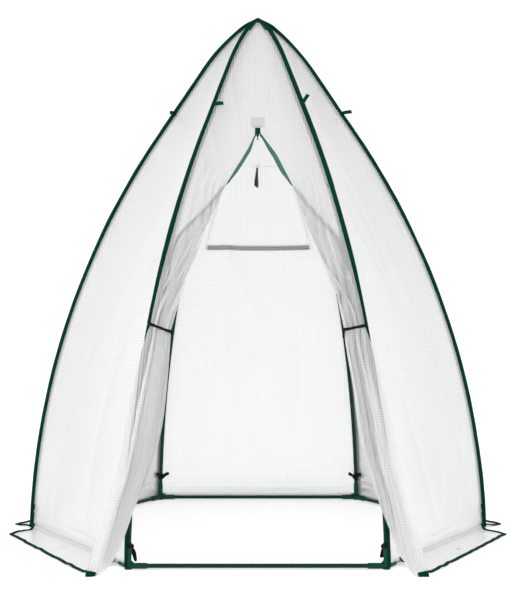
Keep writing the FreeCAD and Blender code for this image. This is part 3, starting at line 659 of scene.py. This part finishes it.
def cap_mesh():
    """A small gathered cap of binding cloth over the meeting of the seams."""
    rings, around = 24, 72

    def at(i, k):
        t = i / rings
        radius = 0.0005 + 0.027 * t
        height = line(s_at_radius(hypot(radius, 0.011)), FILM_OFFSET + 0.004)[1] - 0.002 * t**6
        height += 0.0035 * exp(-((radius / 0.011) ** 2))
        a = 2 * pi * k / around
        pucker = t * (0.0011 * cos(6 * a) + 0.0005 * sin(17 * a + 2))
        reach = radius * (1 + 0.03 * sin(5 * a + 1))
        return Vector((reach * cos(a), reach * sin(a), height + pucker)), (radius * a, radius)

    return surface("cap", rings, around, at, closed=True)


cap = new_object("apex_cap_cloth", cap_mesh(), ROOT, BINDING, ["apex_cap"])

# ---- ground skirts

# across places of the inner edge's ends and the outer edge's, then how far each end reaches out
SKIRT_SHAPES = {
    "front_left": (-0.452, 0.372, -0.400, 0.458, 0.122, 0.158),
    "front_right": (-0.372, 0.452, -0.458, 0.402, 0.158, 0.122),
    "rear_right": (-0.455, 0.455, -0.425, 0.425, 0.130, 0.138),
    "rear": (-0.455, 0.455, -0.420, 0.420, 0.136, 0.136),
    "rear_left": (-0.455, 0.455, -0.425, 0.425, 0.138, 0.130),
}


def skirt_point(side, a, b, seed):
    """A point of a skirt, b of the way from its crease at the wall to its outer edge, a from one end to the other."""
    inner_left, inner_right, outer_left, outer_right, reach_left, reach_right = SKIRT_SHAPES[side]
    azimuth = SIDES[side]
    wall = line(s_at_height(HEM), FILM_OFFSET)[0] * COS_30
    across = mix(mix(inner_left, inner_right, a), mix(outer_left, outer_right, a), b)
    reach = mix(reach_left, reach_right, a)
    out = wall + 0.003 + reach * b
    rise = 0.0052 * (1 - b) + 0.0018 + 0.020 * max(0.0, 1 - b / 0.12) ** 1.5
    wave = wander(a * 5.2, b * 1.2, seed * 4.1) + 0.6 * wander(a * 13, b * 2.4, seed)
    crumple = wander(a * 3.4, b * 6.0, seed * 2.3)
    lift = 0.010 * max(0.0, wave + 0.25) * (0.25 + 0.75 * (1 - b)) + 0.005 * max(0.0, crumple) * (1 - b)
    lift *= smooth(b, 0.0, 0.18) * (1 - 0.75 * smooth(b, 0.75, 1.0))
    out += 0.004 * wander(a * 9, 3.3, seed) * smooth(b, 0.5, 1)
    return outwards(azimuth) * out + across_of(azimuth) * across + Vector((0, 0, rise + lift))


def skirt(side, seed):
    """A skirt on the ground, and the binding round its three free edges."""
    columns, rows = 120, 30

    def at(i, j):
        return skirt_point(side, j / columns, i / rows, seed), ((j / columns - 0.5) * 0.93, -(i / rows) * 0.14)

    mesh = surface(f"skirt_{side}", rows, columns, at)
    mesh.flip_normals()
    piece = new_object(f"film_skirt_{side}", mesh, ROOT, SKIRT_FILM, [f"skirt_{side}"])
    edge = [(0.004, b / 14) for b in range(0, 15)]
    edge += [(mix(0.004, 0.996, k / 90), 1.0) for k in range(1, 90)]
    edge += [(0.996, 1 - b / 14) for b in range(0, 15)]
    path = [skirt_point(side, a, b, seed) + UPWARDS * 0.0006 for a, b in edge]
    for k, point in enumerate(path):
        point.z = max(point.z, 0.0042) + 0.0034 * smooth(wander(k * 0.14, seed, 0), -0.1, 0.5)
    outline = flat_oval(0.0076, 0.0034, 10, 0.7)
    mesh = swept(f"skirt_edge_{side}", path, lambda i, ahead: ahead.cross(UPWARDS), lambda t: outline)
    return new_object(f"skirt_binding_{side}", mesh, ROOT, BINDING)


skirt_edges = [skirt(side, number + 2.0) for number, side in enumerate(SKIRT_SHAPES)]
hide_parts("skirt_bindings")

# ---- door halves

# a door half's zipped edge from the zip's head to its tie, as (height counted downwards, across)
FREE_EDGE = {
    -1: [(-1.640, 0.003), (-1.56, 0.044), (-1.431, 0.118), (-1.352, 0.153), (-1.266, 0.191), (-1.177, 0.222),
         (-1.08, 0.262), (-0.970, 0.294), (-0.873, 0.320)],
    1: [(-1.640, 0.003), (-1.56, 0.066), (-1.500, 0.097), (-1.399, 0.144), (-1.30, 0.176), (-1.223, 0.203),
        (-1.109, 0.250), (-1.007, 0.292), (-0.873, 0.322)],
}
# how a door half hangs below its tie, as (share of the fall, (across, out of the doorway, height))
TAIL_OUTER = [
    (0.0, (0.402, 0.699, 0.873)), (0.10, (0.428, 0.722, 0.79)), (0.3, (0.468, 0.775, 0.60)),
    (0.55, (0.500, 0.840, 0.394)), (0.75, (0.541, 0.885, 0.25)), (0.88, (0.576, 0.920, 0.135)),
    (1.0, (0.607, 0.950, 0.006)),
]
TAIL_MIDDLE = [
    (0.0, (0.362, 0.712, 0.873)), (0.10, (0.368, 0.738, 0.79)), (0.3, (0.398, 0.805, 0.60)),
    (0.55, (0.432, 0.868, 0.40)), (0.75, (0.474, 0.900, 0.25)), (0.88, (0.503, 0.915, 0.13)),
    (1.0, (0.530, 0.928, 0.028)),
]
TAIL_INNER = [
    (0.0, (0.322, 0.701, 0.873)), (0.10, (0.325, 0.716, 0.80)), (0.3, (0.334, 0.742, 0.65)),
    (0.55, (0.352, 0.780, 0.49)), (0.75, (0.388, 0.820, 0.36)), (0.88, (0.414, 0.842, 0.29)),
    (1.0, (0.440, 0.858, 0.226)),
]
TAIL_WIDEN = {-1: 0.0, 1: 0.020}
PLEATS = 5.5
LAYER_SPREAD = 0.022
DOOR_COLUMNS = 150
UPPER_ROWS = 96
LOWER_ROWS = 110


def tail_guide(knots, t, sign, inner_shift=0.0):
    """A point of one of the lines that shape a door half's tail."""
    across, out, z = through([(x, Vector(value)) for x, value in knots], t)
    across += inner_shift * smooth(t, 0.0, 0.35) * (1 - 0.55 * smooth(t, 0.7, 1.0))
    return Vector((sign * across, -out, z))


def pleat(q, t, seed):
    """Depth from -1 to 1 and slip along the width, of folds that lie unevenly."""
    bent = q + 0.05 * sin(2 * pi * q + seed) + 0.03 * wander(q * 3, t * 1.2, seed)
    phase = 2 * pi * PLEATS * bent + 0.5 * wander(t * 1.7, seed, 1.0)
    depth = sin(phase) + 0.22 * sin(2.3 * phase + seed)
    return depth, sin(2 * phase)


def layered(q, row, near_tie):
    """Share across, and depth in metres, of a point of a door half, drawn back into up to three layers.

    The zipped edge is first turned back behind the rest like a lapel, then doubles forwards again."""
    front_layer = mix(mix(1.0, 0.55, smooth(row, 0.24, 0.60)), 0.345, smooth(row, 0.60, 0.95))
    u = q / front_layer
    soft = 0.05
    there = 1 + soft - hypot(min(u, 1.43) - 1, soft)
    back = hypot(max(u, 1.43) - 1.86, soft) - hypot(0.43, soft)
    start = (1 + soft - hypot(1, soft)) * max(0.0, 1 - u) ** 3
    share = min(max(there + back - start, 0.0), 1.0)
    depth = -0.5 * smooth(u, 0.85, 1.15) - 0.5 * smooth(u, 1.70, 2.00) + 0.5 * near_tie
    round_off = sqrt(max(0.0, 1 - (2 * share - 1) ** 2))
    return share, depth * mix(0.012, LAYER_SPREAD, near_tie) * mix(1.0, 0.35 + 0.65 * round_off, near_tie), round_off


def upper_point(sign, row, q, seed):
    """A point of a door half above its tie."""
    side = copysign(1, sign)
    z = mix(ZIP_TOP, TIE, row)
    s = s_at_height(z)
    r, _, lean = line(s, FILM_OFFSET)
    normal = face_normal(FRONT, lean)
    near_tie = smooth(row, 0.55, 1.0)
    seam = Vector((side * r / 2, -r * COS_30, z)) + Vector((side * 0.004, -0.009, 0)) * near_tie
    edge = Vector((side * through(FREE_EDGE[sign], -z), -r * COS_30 - 0.006 * near_tie, z))
    depth, slip = pleat(q, row, seed)
    share, layer, round_off = layered(q, row, near_tie)
    size = mix(0.007 * smooth(row, 0.08, 0.6), 0.014, near_tie)
    free = smooth(q, 0.0, 0.12)
    point = seam.lerp(edge, share + slip * 0.03 * near_tie * free * (1 - smooth(q, 0.9, 1.0)))
    relief = crease(side * r / 2 * (1 - q), s - HEM_S, seed + 20, 0.0034)
    hold = mix(1 - abs(2 * q - 1) ** 3, 0.3 + 0.7 * round_off, near_tie)
    point += normal * (free * (depth * size * hold + relief + layer))
    flat = cover_point(FRONT, s, point.x / (r / 2), FRONT_SEED)
    return flat.lerp(point, smooth(row, 0.0, 0.22))


def tail_point(sign, row, q, seed):
    """The same for a point of a door half below its tie."""
    side = copysign(1, sign)
    t = row - 1
    widen = TAIL_WIDEN[sign]
    outer = tail_guide(TAIL_OUTER, t, side)
    middle = tail_guide(TAIL_MIDDLE, t, side, widen * 0.5)
    inner = tail_guide(TAIL_INNER, t, side, widen)
    near_tie = 1 - smooth(t, 0.0, 0.14)
    x, layer, round_off = layered(q, row, near_tie)
    point = outer * ((1 - x) * (1 - 2 * x)) + middle * (4 * x * (1 - x)) + inner * (x * (2 * x - 1))
    chord = inner - outer
    down = tail_guide(TAIL_MIDDLE, min(1.0, t + 0.02), side) - tail_guide(TAIL_MIDDLE, max(0.0, t - 0.02), side)
    front = chord.cross(down).normalized()
    if front.y > 0:
        front = -front
    depth, slip = pleat(q, row, seed)
    size = mix(0.014, 0.013, smooth(t, 0.0, 0.35)) * (1 - 0.4 * smooth(t, 0.5, 1.0))
    hold = mix(1 - abs(2 * q - 1) ** 4, 0.3 + 0.7 * round_off, near_tie)
    relief = crease(q * 0.4, t * 0.9, seed + 31, 0.0036) * smooth(t, 0.1, 0.3)
    shift = slip * 0.03 * near_tie * smooth(q, 0.0, 0.12) * (1 - smooth(q, 0.9, 1.0))
    return point + chord * shift + front * (depth * size * hold + relief + layer)


def door_point(sign, row, q, seed):
    """A point of a door half. row runs from 0 at the zip's head through 1 at the tie to 2 at the foot."""
    point = upper_point(sign, row, q, seed) if row <= 1 else tail_point(sign, row, q, seed)
    point.z = max(point.z, 0.0035)
    return point


def door_half(side, sign, seed):
    """A whole door half, blended onto its tail's body just below the tie."""
    rows = [i / UPPER_ROWS for i in range(UPPER_ROWS + 1)]
    rows += [1 + (i + 1) / LOWER_ROWS for i in range(LOWER_ROWS)]
    points = []
    uvs = []
    length = 0.003 + s_at_height(ZIP_TOP) - HEM_S
    for i, row in enumerate(rows):
        points.append([door_point(sign, row, j / DOOR_COLUMNS, seed) for j in range(DOOR_COLUMNS + 1)])
        if i:
            length -= (points[i][0] - points[i - 1][0]).length
        z = mix(ZIP_TOP, TIE, row) if row <= 1 else mix(TIE, HEM, row - 1)
        half = line(s_at_height(z), FILM_OFFSET)[0] / 2
        uvs.append([(sign * half * (1 - j / DOOR_COLUMNS), length) for j in range(DOOR_COLUMNS + 1)])
    mesh = grid_mesh(f"door_{side}", points, uvs)
    if sign < 0:
        mesh.flip_normals()
    replaced = [f"door_upper_{side}", f"door_tail_{side}"]
    piece = new_object(f"film_door_{side}", mesh, None, FILM, replaced)
    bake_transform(piece)
    cut_length, cut_area = gore(HEM_S, s_at_height(ZIP_TOP))
    cut = (line(HEM_S, FILM_OFFSET)[0] / 2, cut_length)


# each side's name, its sign along X and the seed of its folds
DOOR_SIDES = (("left", -1, 1.7), ("right", 1, 4.4))
for side, sign, seed in DOOR_SIDES:
    door_half(side, sign, seed)

# ---- zip tapes and head


TAPE_WIDTHS = {-1: 0.014, 1: 0.018}


def tape_line(sign, row, seed):
    """Where a zip tape leaves the edge of its door half, the film's normal, and which way the tape runs on.

    It lies open to view below the head, then is tucked in."""
    normal = face_normal(FRONT, line(s_at_height(mix(ZIP_TOP, TIE, row)), FILM_OFFSET)[2])
    edge = door_point(sign, row, 1.0, seed)
    cloth = (edge - door_point(sign, row, 0.985, seed)).normalized()
    to_opening = Vector((-sign, 0, -0.25)).normalized()
    opened = smooth(row, 0.02, 0.13) * (1 - smooth(row, 0.17, 0.27))
    turn = mix(radians(82), radians(12), opened)
    shown = to_opening * cos(turn) - normal * sin(turn)
    tucked = cloth.lerp(Vector((sign, 0.2, 0)), smooth(row, 0.45, 0.60))
    return edge, normal, shown.lerp(tucked, smooth(row, 0.24, 0.31)).normalized()


def tape_strip(side, sign, seed):
    """The zip tape along a free edge: it shows its face near the head and is folded behind the film lower down."""
    count, wide = 90, 8
    width = TAPE_WIDTHS[sign]
    lines = [tape_line(sign, mix(0.012, 0.86, i / count), seed) for i in range(count + 1)]
    lengths = [0.0]
    for (before, _, _), (edge, _, _) in zip(lines, lines[1:]):
        lengths.append(lengths[-1] + (edge - before).length)

    def at(i, k):
        edge, normal, way = lines[i]
        share = k / wide
        curl = 0.0015 * sin(pi * share)
        point = edge - normal * 0.0008 + way * (share * width) - normal * curl
        return point, (share * width, lengths[i])

    mesh = surface(f"tape_{side}", count, wide, at)
    piece = new_object(f"zip_tape_cloth_{side}", mesh, ROOT, TAPE, [f"zip_tape_{side}"])


def coil_teeth(side, sign, seed):
    """The coil of teeth on the tape's free edge, as one tooth after another."""
    width, count = TAPE_WIDTHS[sign], 210
    places = []
    for i in range(count):
        edge, normal, way = tape_line(sign, mix(0.014, 0.84, i / (count - 1)), seed)
        centre = edge - normal * 0.0008 + way * width
        place = Matrix.Translation(centre) @ way.to_track_quat("X", "Z").to_matrix().to_4x4()
        places.append(place @ Matrix.Diagonal((0.0016, 0.0009, 0.0009, 1)))
    new_object(f"zip_teeth_{side}", bead_mesh(f"teeth_{side}", places), ROOT, SLIDER)


for side, sign, seed in DOOR_SIDES:
    tape_strip(side, sign, seed)
    coil_teeth(side, sign, seed)


def front_patch(name, half, low, high, lift, material, replaced=()):
    """A small sheet on the outside of the front panel."""
    cells = 12
    start, end = s_at_height(low), s_at_height(high)

    def at(i, j):
        s = mix(start, end, i / cells)
        x = mix(-half, half, j / cells)
        r, _, lean = line(s, FILM_OFFSET)
        edge = max(abs(2 * i / cells - 1), abs(2 * j / cells - 1)) ** 8
        point = cover_point(FRONT, s, 2 * x / r, FRONT_SEED) + face_normal(FRONT, lean) * (lift - 0.0006 * edge)
        return point, (x + 0.004, s - HEM_S + 0.006)

    piece = new_object(name, surface(name, cells, cells, at), ROOT, material, replaced)


front_patch("zip_patch_film", 0.027, 1.652, 1.700, 0.0012, PATCH_FILM, ["zip_head_patch"])
front_patch("zip_head_tape", 0.0105, 1.624, 1.651, 0.0024, BINDING)


def patch_stitches():
    """The bar of stitches under the patch."""
    s = s_at_height(1.657)
    r, _, lean = line(s, FILM_OFFSET)
    places = []
    for k in range(5):
        place = cover_point(FRONT, s, 2 * 0.007 * (k - 2) / r, FRONT_SEED) + face_normal(FRONT, lean) * 0.0016
        places.append(Matrix.Translation(place) @ Matrix.Diagonal((0.0016, 0.0009, 0.0013, 1)))
    new_object("patch_stitches", bead_mesh("patch_stitches", places, 2), ROOT, STITCH)


patch_stitches()

# ---- straps, ribbons and loops


def always(way):
    """The same way at every step of a path."""
    return lambda i, ahead: way


def band_strip(name, path, width_at, across_at, body=ROOT, material=RIBBON, replaced=(), thick=0.0011):
    """A flat band with rounded edges along a path. width_at(t) is its width, across_at(i, ahead) its width's way."""
    mesh = swept(name, path, across_at, lambda t: flat_oval(width_at(t) / 2, thick / 2, 10, 0.6))
    new_object(name, mesh, body, material, replaced)


def around_bundle(sign, start, end, tilt):
    """Points round the tied bundle, from the rib's side at 0 degrees through the front at 90."""
    centre = Vector((sign * 0.364, -0.704, TIE + 0.003))
    count, grow = 44, 0.0015
    points = []
    for i in range(count + 1):
        a = radians(mix(start, end, i / count))
        x = copysign(abs(cos(a)) ** 0.8, cos(a)) * (0.043 + grow)
        y = copysign(abs(sin(a)) ** 0.6, sin(a)) * (0.0345 + grow)
        points.append(centre + Vector((sign * x, -y, x * tilt)))
    return points


for side, sign, _ in DOOR_SIDES:
    tilt, drop = (0.38, 0.010) if sign < 0 else (0.20, 0.030)
    front = around_bundle(sign, 4, 172, tilt)
    end = front[-1]
    front += [end + Vector((-sign * 0.002 * k / 5, -0.002 * k / 5, -drop * k / 5)) for k in range(1, 6)]
    band_strip(
        f"tie_front_{side}", front, lambda t: 0.0115 + 0.0016 * sin(9 * t), always(UPWARDS),
        f"tie_back_{side}_body", replaced=[f"strap_outer_{side}"],
    )
    back = around_bundle(sign, 186, 354, tilt)
    band_strip(f"tie_back_{side}", back, lambda t: 0.012, always(UPWARDS), replaced=[f"strap_inner_{side}"])

RIBBON_HEIGHTS = {"front": 0.080, "rear": 0.112, "side": 0.095}
# both loose ends of each knot, as how far they run sideways and upwards, and their length
RIBBON_ENDS = {
    "rear": ((-1.0, 0.62, 0.041), (1.0, 0.70, 0.038)),
    "front": ((0.55, -1.0, 0.050), (-0.25, -0.9, 0.034)),
    "side": ((0.8, -0.5, 0.044), (-0.7, -0.75, 0.038)),
}


def foot_ribbon(corner, azimuth, seed):
    """A ribbon wound round a rib's foot, with a knot and two loose ends on the inside."""
    kind = corner.split("_")[0] if "_" in corner else "side"
    centre, out, up = rib_axes(azimuth, s_at_height(RIBBON_HEIGHTS[kind], 0.0), 0.0)
    across = across_of(azimuth)
    radius = 0.0090
    turns = []
    for k in range(70):
        a = 2 * pi * 2.2 * k / 69 + pi
        ease = radius + 0.0009 * k / 69 + 0.0003 * wander(k * 0.2, seed, 0)
        rise = 0.006 * sin(a * 0.45 + seed)
        turns.append(centre + out * (ease * cos(a)) + across * (ease * sin(a)) + up * rise)
    replaced = ["foot_ribbons"] if corner == "front_left" else []
    name = f"foot_ribbon_{corner}"
    band_strip(
        f"{name}_wrap", turns, lambda t: 0.0225 + 0.002 * sin(14 * t), always(up),
        replaced=replaced, thick=0.0009,
    )
    knot_at = centre - out * (radius + 0.0052)
    knot = []
    for k in range(41):
        a = 2 * pi * k / 40
        turn = across * (0.0062 * cos(a)) + up * (0.0072 * sin(a))
        knot.append(knot_at + turn - out * (0.0020 * sin(2 * a + seed)))
    band_strip(f"{name}_knot", knot, lambda t: 0.0115, always(out), thick=0.0062)
    for label, (sideways, rising, length) in zip("ab", RIBBON_ENDS[kind]):
        way = (across * sideways + up * rising).normalized()
        path = []
        for k in range(20):
            t = k / 19
            curl = 0.004 * sin(4.5 * t + seed) * t
            path.append(knot_at + way * (length * t) - out * (0.003 * t + curl) - up * (0.007 * t * t))
        band_strip(
            f"{name}_end_{label}",
            path,
            lambda t: mix(0.011, 0.0175, smooth(t, 0.0, 0.5)) * (1 - 0.35 * smooth(t, 0.9, 1.0)),
            lambda i, ahead: ahead.cross(out) + out * (0.3 * sin(i * 0.2 + seed)),
            thick=0.0009,
        )


for number, (corner, azimuth) in enumerate(CORNERS.items()):
    foot_ribbon(corner, azimuth, number * 1.9 + 0.4)

# the way each guy loop has been pushed over: out from the seam, sideways, and up along it
LOOP_LIES = {
    "front_left": (0.12, 0.97, 0.08),
    "front_right": (0.80, 0.30, 0.42),
    "right": (0.94, -0.10, -0.32),
    "rear_right": (0.90, 0.15, -0.35),
    "rear_left": (0.90, -0.20, -0.30),
    "left": (0.30, 0.94, -0.12),
}
LOOP_HEIGHT = 1.748


def guy_loop(corner, azimuth, seed):
    """A loop of webbing sewn into the seam: a long narrow eye that lies the way it was last pushed."""
    seam, out, up = rib_axes(azimuth, s_at_height(LOOP_HEIGHT))
    root = seam + out * 0.008
    a, b, c = LOOP_LIES[corner]
    lie = (out * a + across_of(azimuth) * b + up * c).normalized()
    wide = lie.cross(Vector((0, 1, 0)))
    if wide.length < 0.5:
        wide = lie.cross(Vector((1, 0, 0)))
    wide.normalize()
    side = lie.cross(wide)
    path = []
    length = 0.047 + 0.004 * sin(seed)
    for k in range(61):
        t = k / 60
        along = length * sin(pi * t) ** 0.8
        open_by = 0.0034 * sin(2 * pi * t)
        droop = -0.005 * sin(pi * t) ** 2
        path.append(root + lie * along + side * open_by + UPWARDS * droop)
    replaced = ["guy_loops"] if corner == "front_left" else []
    band_strip(
        f"guy_loop_{corner}", path, lambda t: 0.0145, always(wide), ROOT, WEBBING, replaced, 0.0020
    )


for number, (corner, azimuth) in enumerate(CORNERS.items()):
    guy_loop(corner, azimuth, number * 2.3)

# ---- foot bindings of the door halves


def foot_binding(side, sign, seed):
    """Binding cloth folded over the foot of a door half, where it lies in a doubled tab."""
    count, around = 28, 16

    def at(i, k):
        share = i / count
        q = mix(0.0, 0.075, share)
        foot = door_point(sign, 2.0, q, seed)
        climb = (door_point(sign, 1.95, q, seed) - foot).normalized()
        tall = mix(0.024, 0.017, share) * (1 - 0.25 * (2 * share - 1) ** 8)
        a = 2 * pi * k / around
        thick = 0.0040 + 0.0009 * sin(5 * share + k)
        face = Vector((sign * 0.45, -0.89, 0)) * (thick * sin(a))
        point = foot + climb * (tall * (0.5 + 0.5 * cos(a)) - 0.004) + face
        point.z = max(point.z, 0.001)
        return point, (k * 0.003, q * 0.4)

    mesh = surface(f"foot_binding_{side}", count, around, at, closed=True)
    new_object(f"door_foot_binding_{side}", mesh, f"door_tail_{side}_body", BINDING)


for side, sign, seed in DOOR_SIDES:
    foot_binding(side, sign, seed)

# ---- rear window


def rear_sheet(name, low, high, half_at, lift, rows, columns, material, replaced, body):
    """A sheet that follows the rear wall at a set distance outside it."""

    def at(i, j):
        z = mix(low, high, i / rows)
        s = s_at_height(z)
        r, _, lean = line(s, FILM_OFFSET)
        half = half_at(z)
        x = mix(-half, half, j / columns)
        wave = 0.0022 * wander(x * 7, z * 5, 4.2) if lift > 0.003 else 0.0
        return cover_point(REAR, s, -2 * x / r, REAR_SEED) + face_normal(REAR, lean) * (lift + wave), (x, s - HEM_S)

    piece = new_object(name, surface(name, rows, columns, at), body, material, replaced)
    width = 2 * half_at(low)
    tall, _ = gore(s_at_height(low), s_at_height(high))
    area = (half_at(low) + half_at(high)) * tall


def window_half(z):
    return mix(SILL_HALF, LINTEL_HALF, (z - SILL) / (LINTEL - SILL))


rear_sheet(
    "window_flap_film", SILL - 0.024, LINTEL, lambda z: window_half(z) + 0.010, 0.0050, 60, 56, FILM,
    ["window_flap"], "window_flap_body",
)
rear_sheet(
    "window_sill_strip", SILL - 0.023, SILL - 0.001, lambda z: SILL_HALF, 0.0014, 6, 90, HOOK,
    ["window_hook_strip"], ROOT,
)


def roll_tie():
    """The doubled tie that hangs inside above the window, its two legs a little apart."""
    low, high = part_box("window_roll_tie")
    top = Vector(((low.x + high.x) / 2, (low.y + high.y) / 2, high.z))
    for leg, length, lean, gap in (("long", 0.104, -0.06, 0.0), ("short", 0.098, -0.13, -0.0035)):
        path = []
        for k in range(26):
            t = k / 25
            sway = 0.0022 * sin(3.0 * t + length * 40)
            path.append(top + Vector((lean * length * t + sway, gap * t - 0.003 * t * t, -length * t)))
        material, replaced = (GREY_TIE, ["window_roll_tie"]) if leg == "long" else (HOOK, [])
        band_strip(
            f"roll_tie_{leg}", path, lambda t: 0.0075 + 0.0050 * smooth(t, 0.35, 0.8), always(Vector((1, 0, 0))),
            "window_tie_body", material, replaced, 0.0014,
        )


roll_tie()

# ---- stage, light and camera

floor_mesh = bpy.data.meshes.new("floor")
floor_mesh.from_pydata([(-300, -300, 0), (300, -300, 0), (300, 300, 0), (-300, 300, 0)], [], [(0, 1, 2, 3)])
floor = in_scene("floor", floor_mesh)
floor_nodes = Nodes("pale_floor")
floor_diffuse = floor_nodes.add("BsdfDiffuse", Color=grey(0.80))
floor_glow = floor_nodes.add("Emission", Color=grey(1), Strength=0.42)
floor_sum = floor_nodes.add("AddShader")
floor_nodes.tree.links.new(floor_diffuse.outputs[0], floor_sum.inputs[0])
floor_nodes.tree.links.new(floor_glow.outputs[0], floor_sum.inputs[1])
floor_mesh.materials.append(floor_nodes.finish(floor_sum.outputs[0]))

world = bpy.data.worlds.new("studio")
bpy.context.scene.world = world
world.use_nodes = True
sky = world.node_tree
sky_way = sky.nodes.new("ShaderNodeTexCoord")
sky_split = sky.nodes.new("ShaderNodeSeparateXYZ")
sky_ramp = sky.nodes.new("ShaderNodeMapRange")
sky.links.new(sky_way.outputs["Generated"], sky_split.inputs[0])
sky.links.new(sky_split.outputs[1], sky_ramp.inputs[0])
for socket, number in zip(list(sky_ramp.inputs)[1:5], (-0.5, 0.45, 0.80, 1.12)):
    socket.default_value = number
sky.links.new(sky_ramp.outputs[0], sky.nodes["Background"].inputs[1])
sky.nodes["Background"].inputs[0].default_value = (1.0, 1.0, 1.0, 1)


def area_light(name, place, target, size, power):
    data = bpy.data.lights.new(name, "AREA")
    data.shape = "DISK"
    data.size = size
    data.energy = power
    lamp = in_scene(name, data)
    lamp.location = place
    lamp.rotation_euler = (Vector(target) - Vector(place)).to_track_quat("-Z", "Y").to_euler()


area_light("key", (-4.0, -3.4, 3.6), (0, 0, 0.9), 1.6, 70)
area_light("fill", (4.4, -2.8, 2.4), (0, 0, 0.9), 2.2, 36)

camera_data = bpy.data.cameras.new("camera")
camera_data.sensor_fit = "VERTICAL"
camera_data.sensor_height = 36.0
camera_data.lens = 84.24
camera_data.shift_y = -0.0318
camera = in_scene("camera", camera_data)
camera.location = (0.013, -5.914, 1.047)
camera.rotation_euler = (radians(90), 0, 0)
bpy.context.scene.camera = camera
bpy.context.scene.view_settings.view_transform = "Standard"
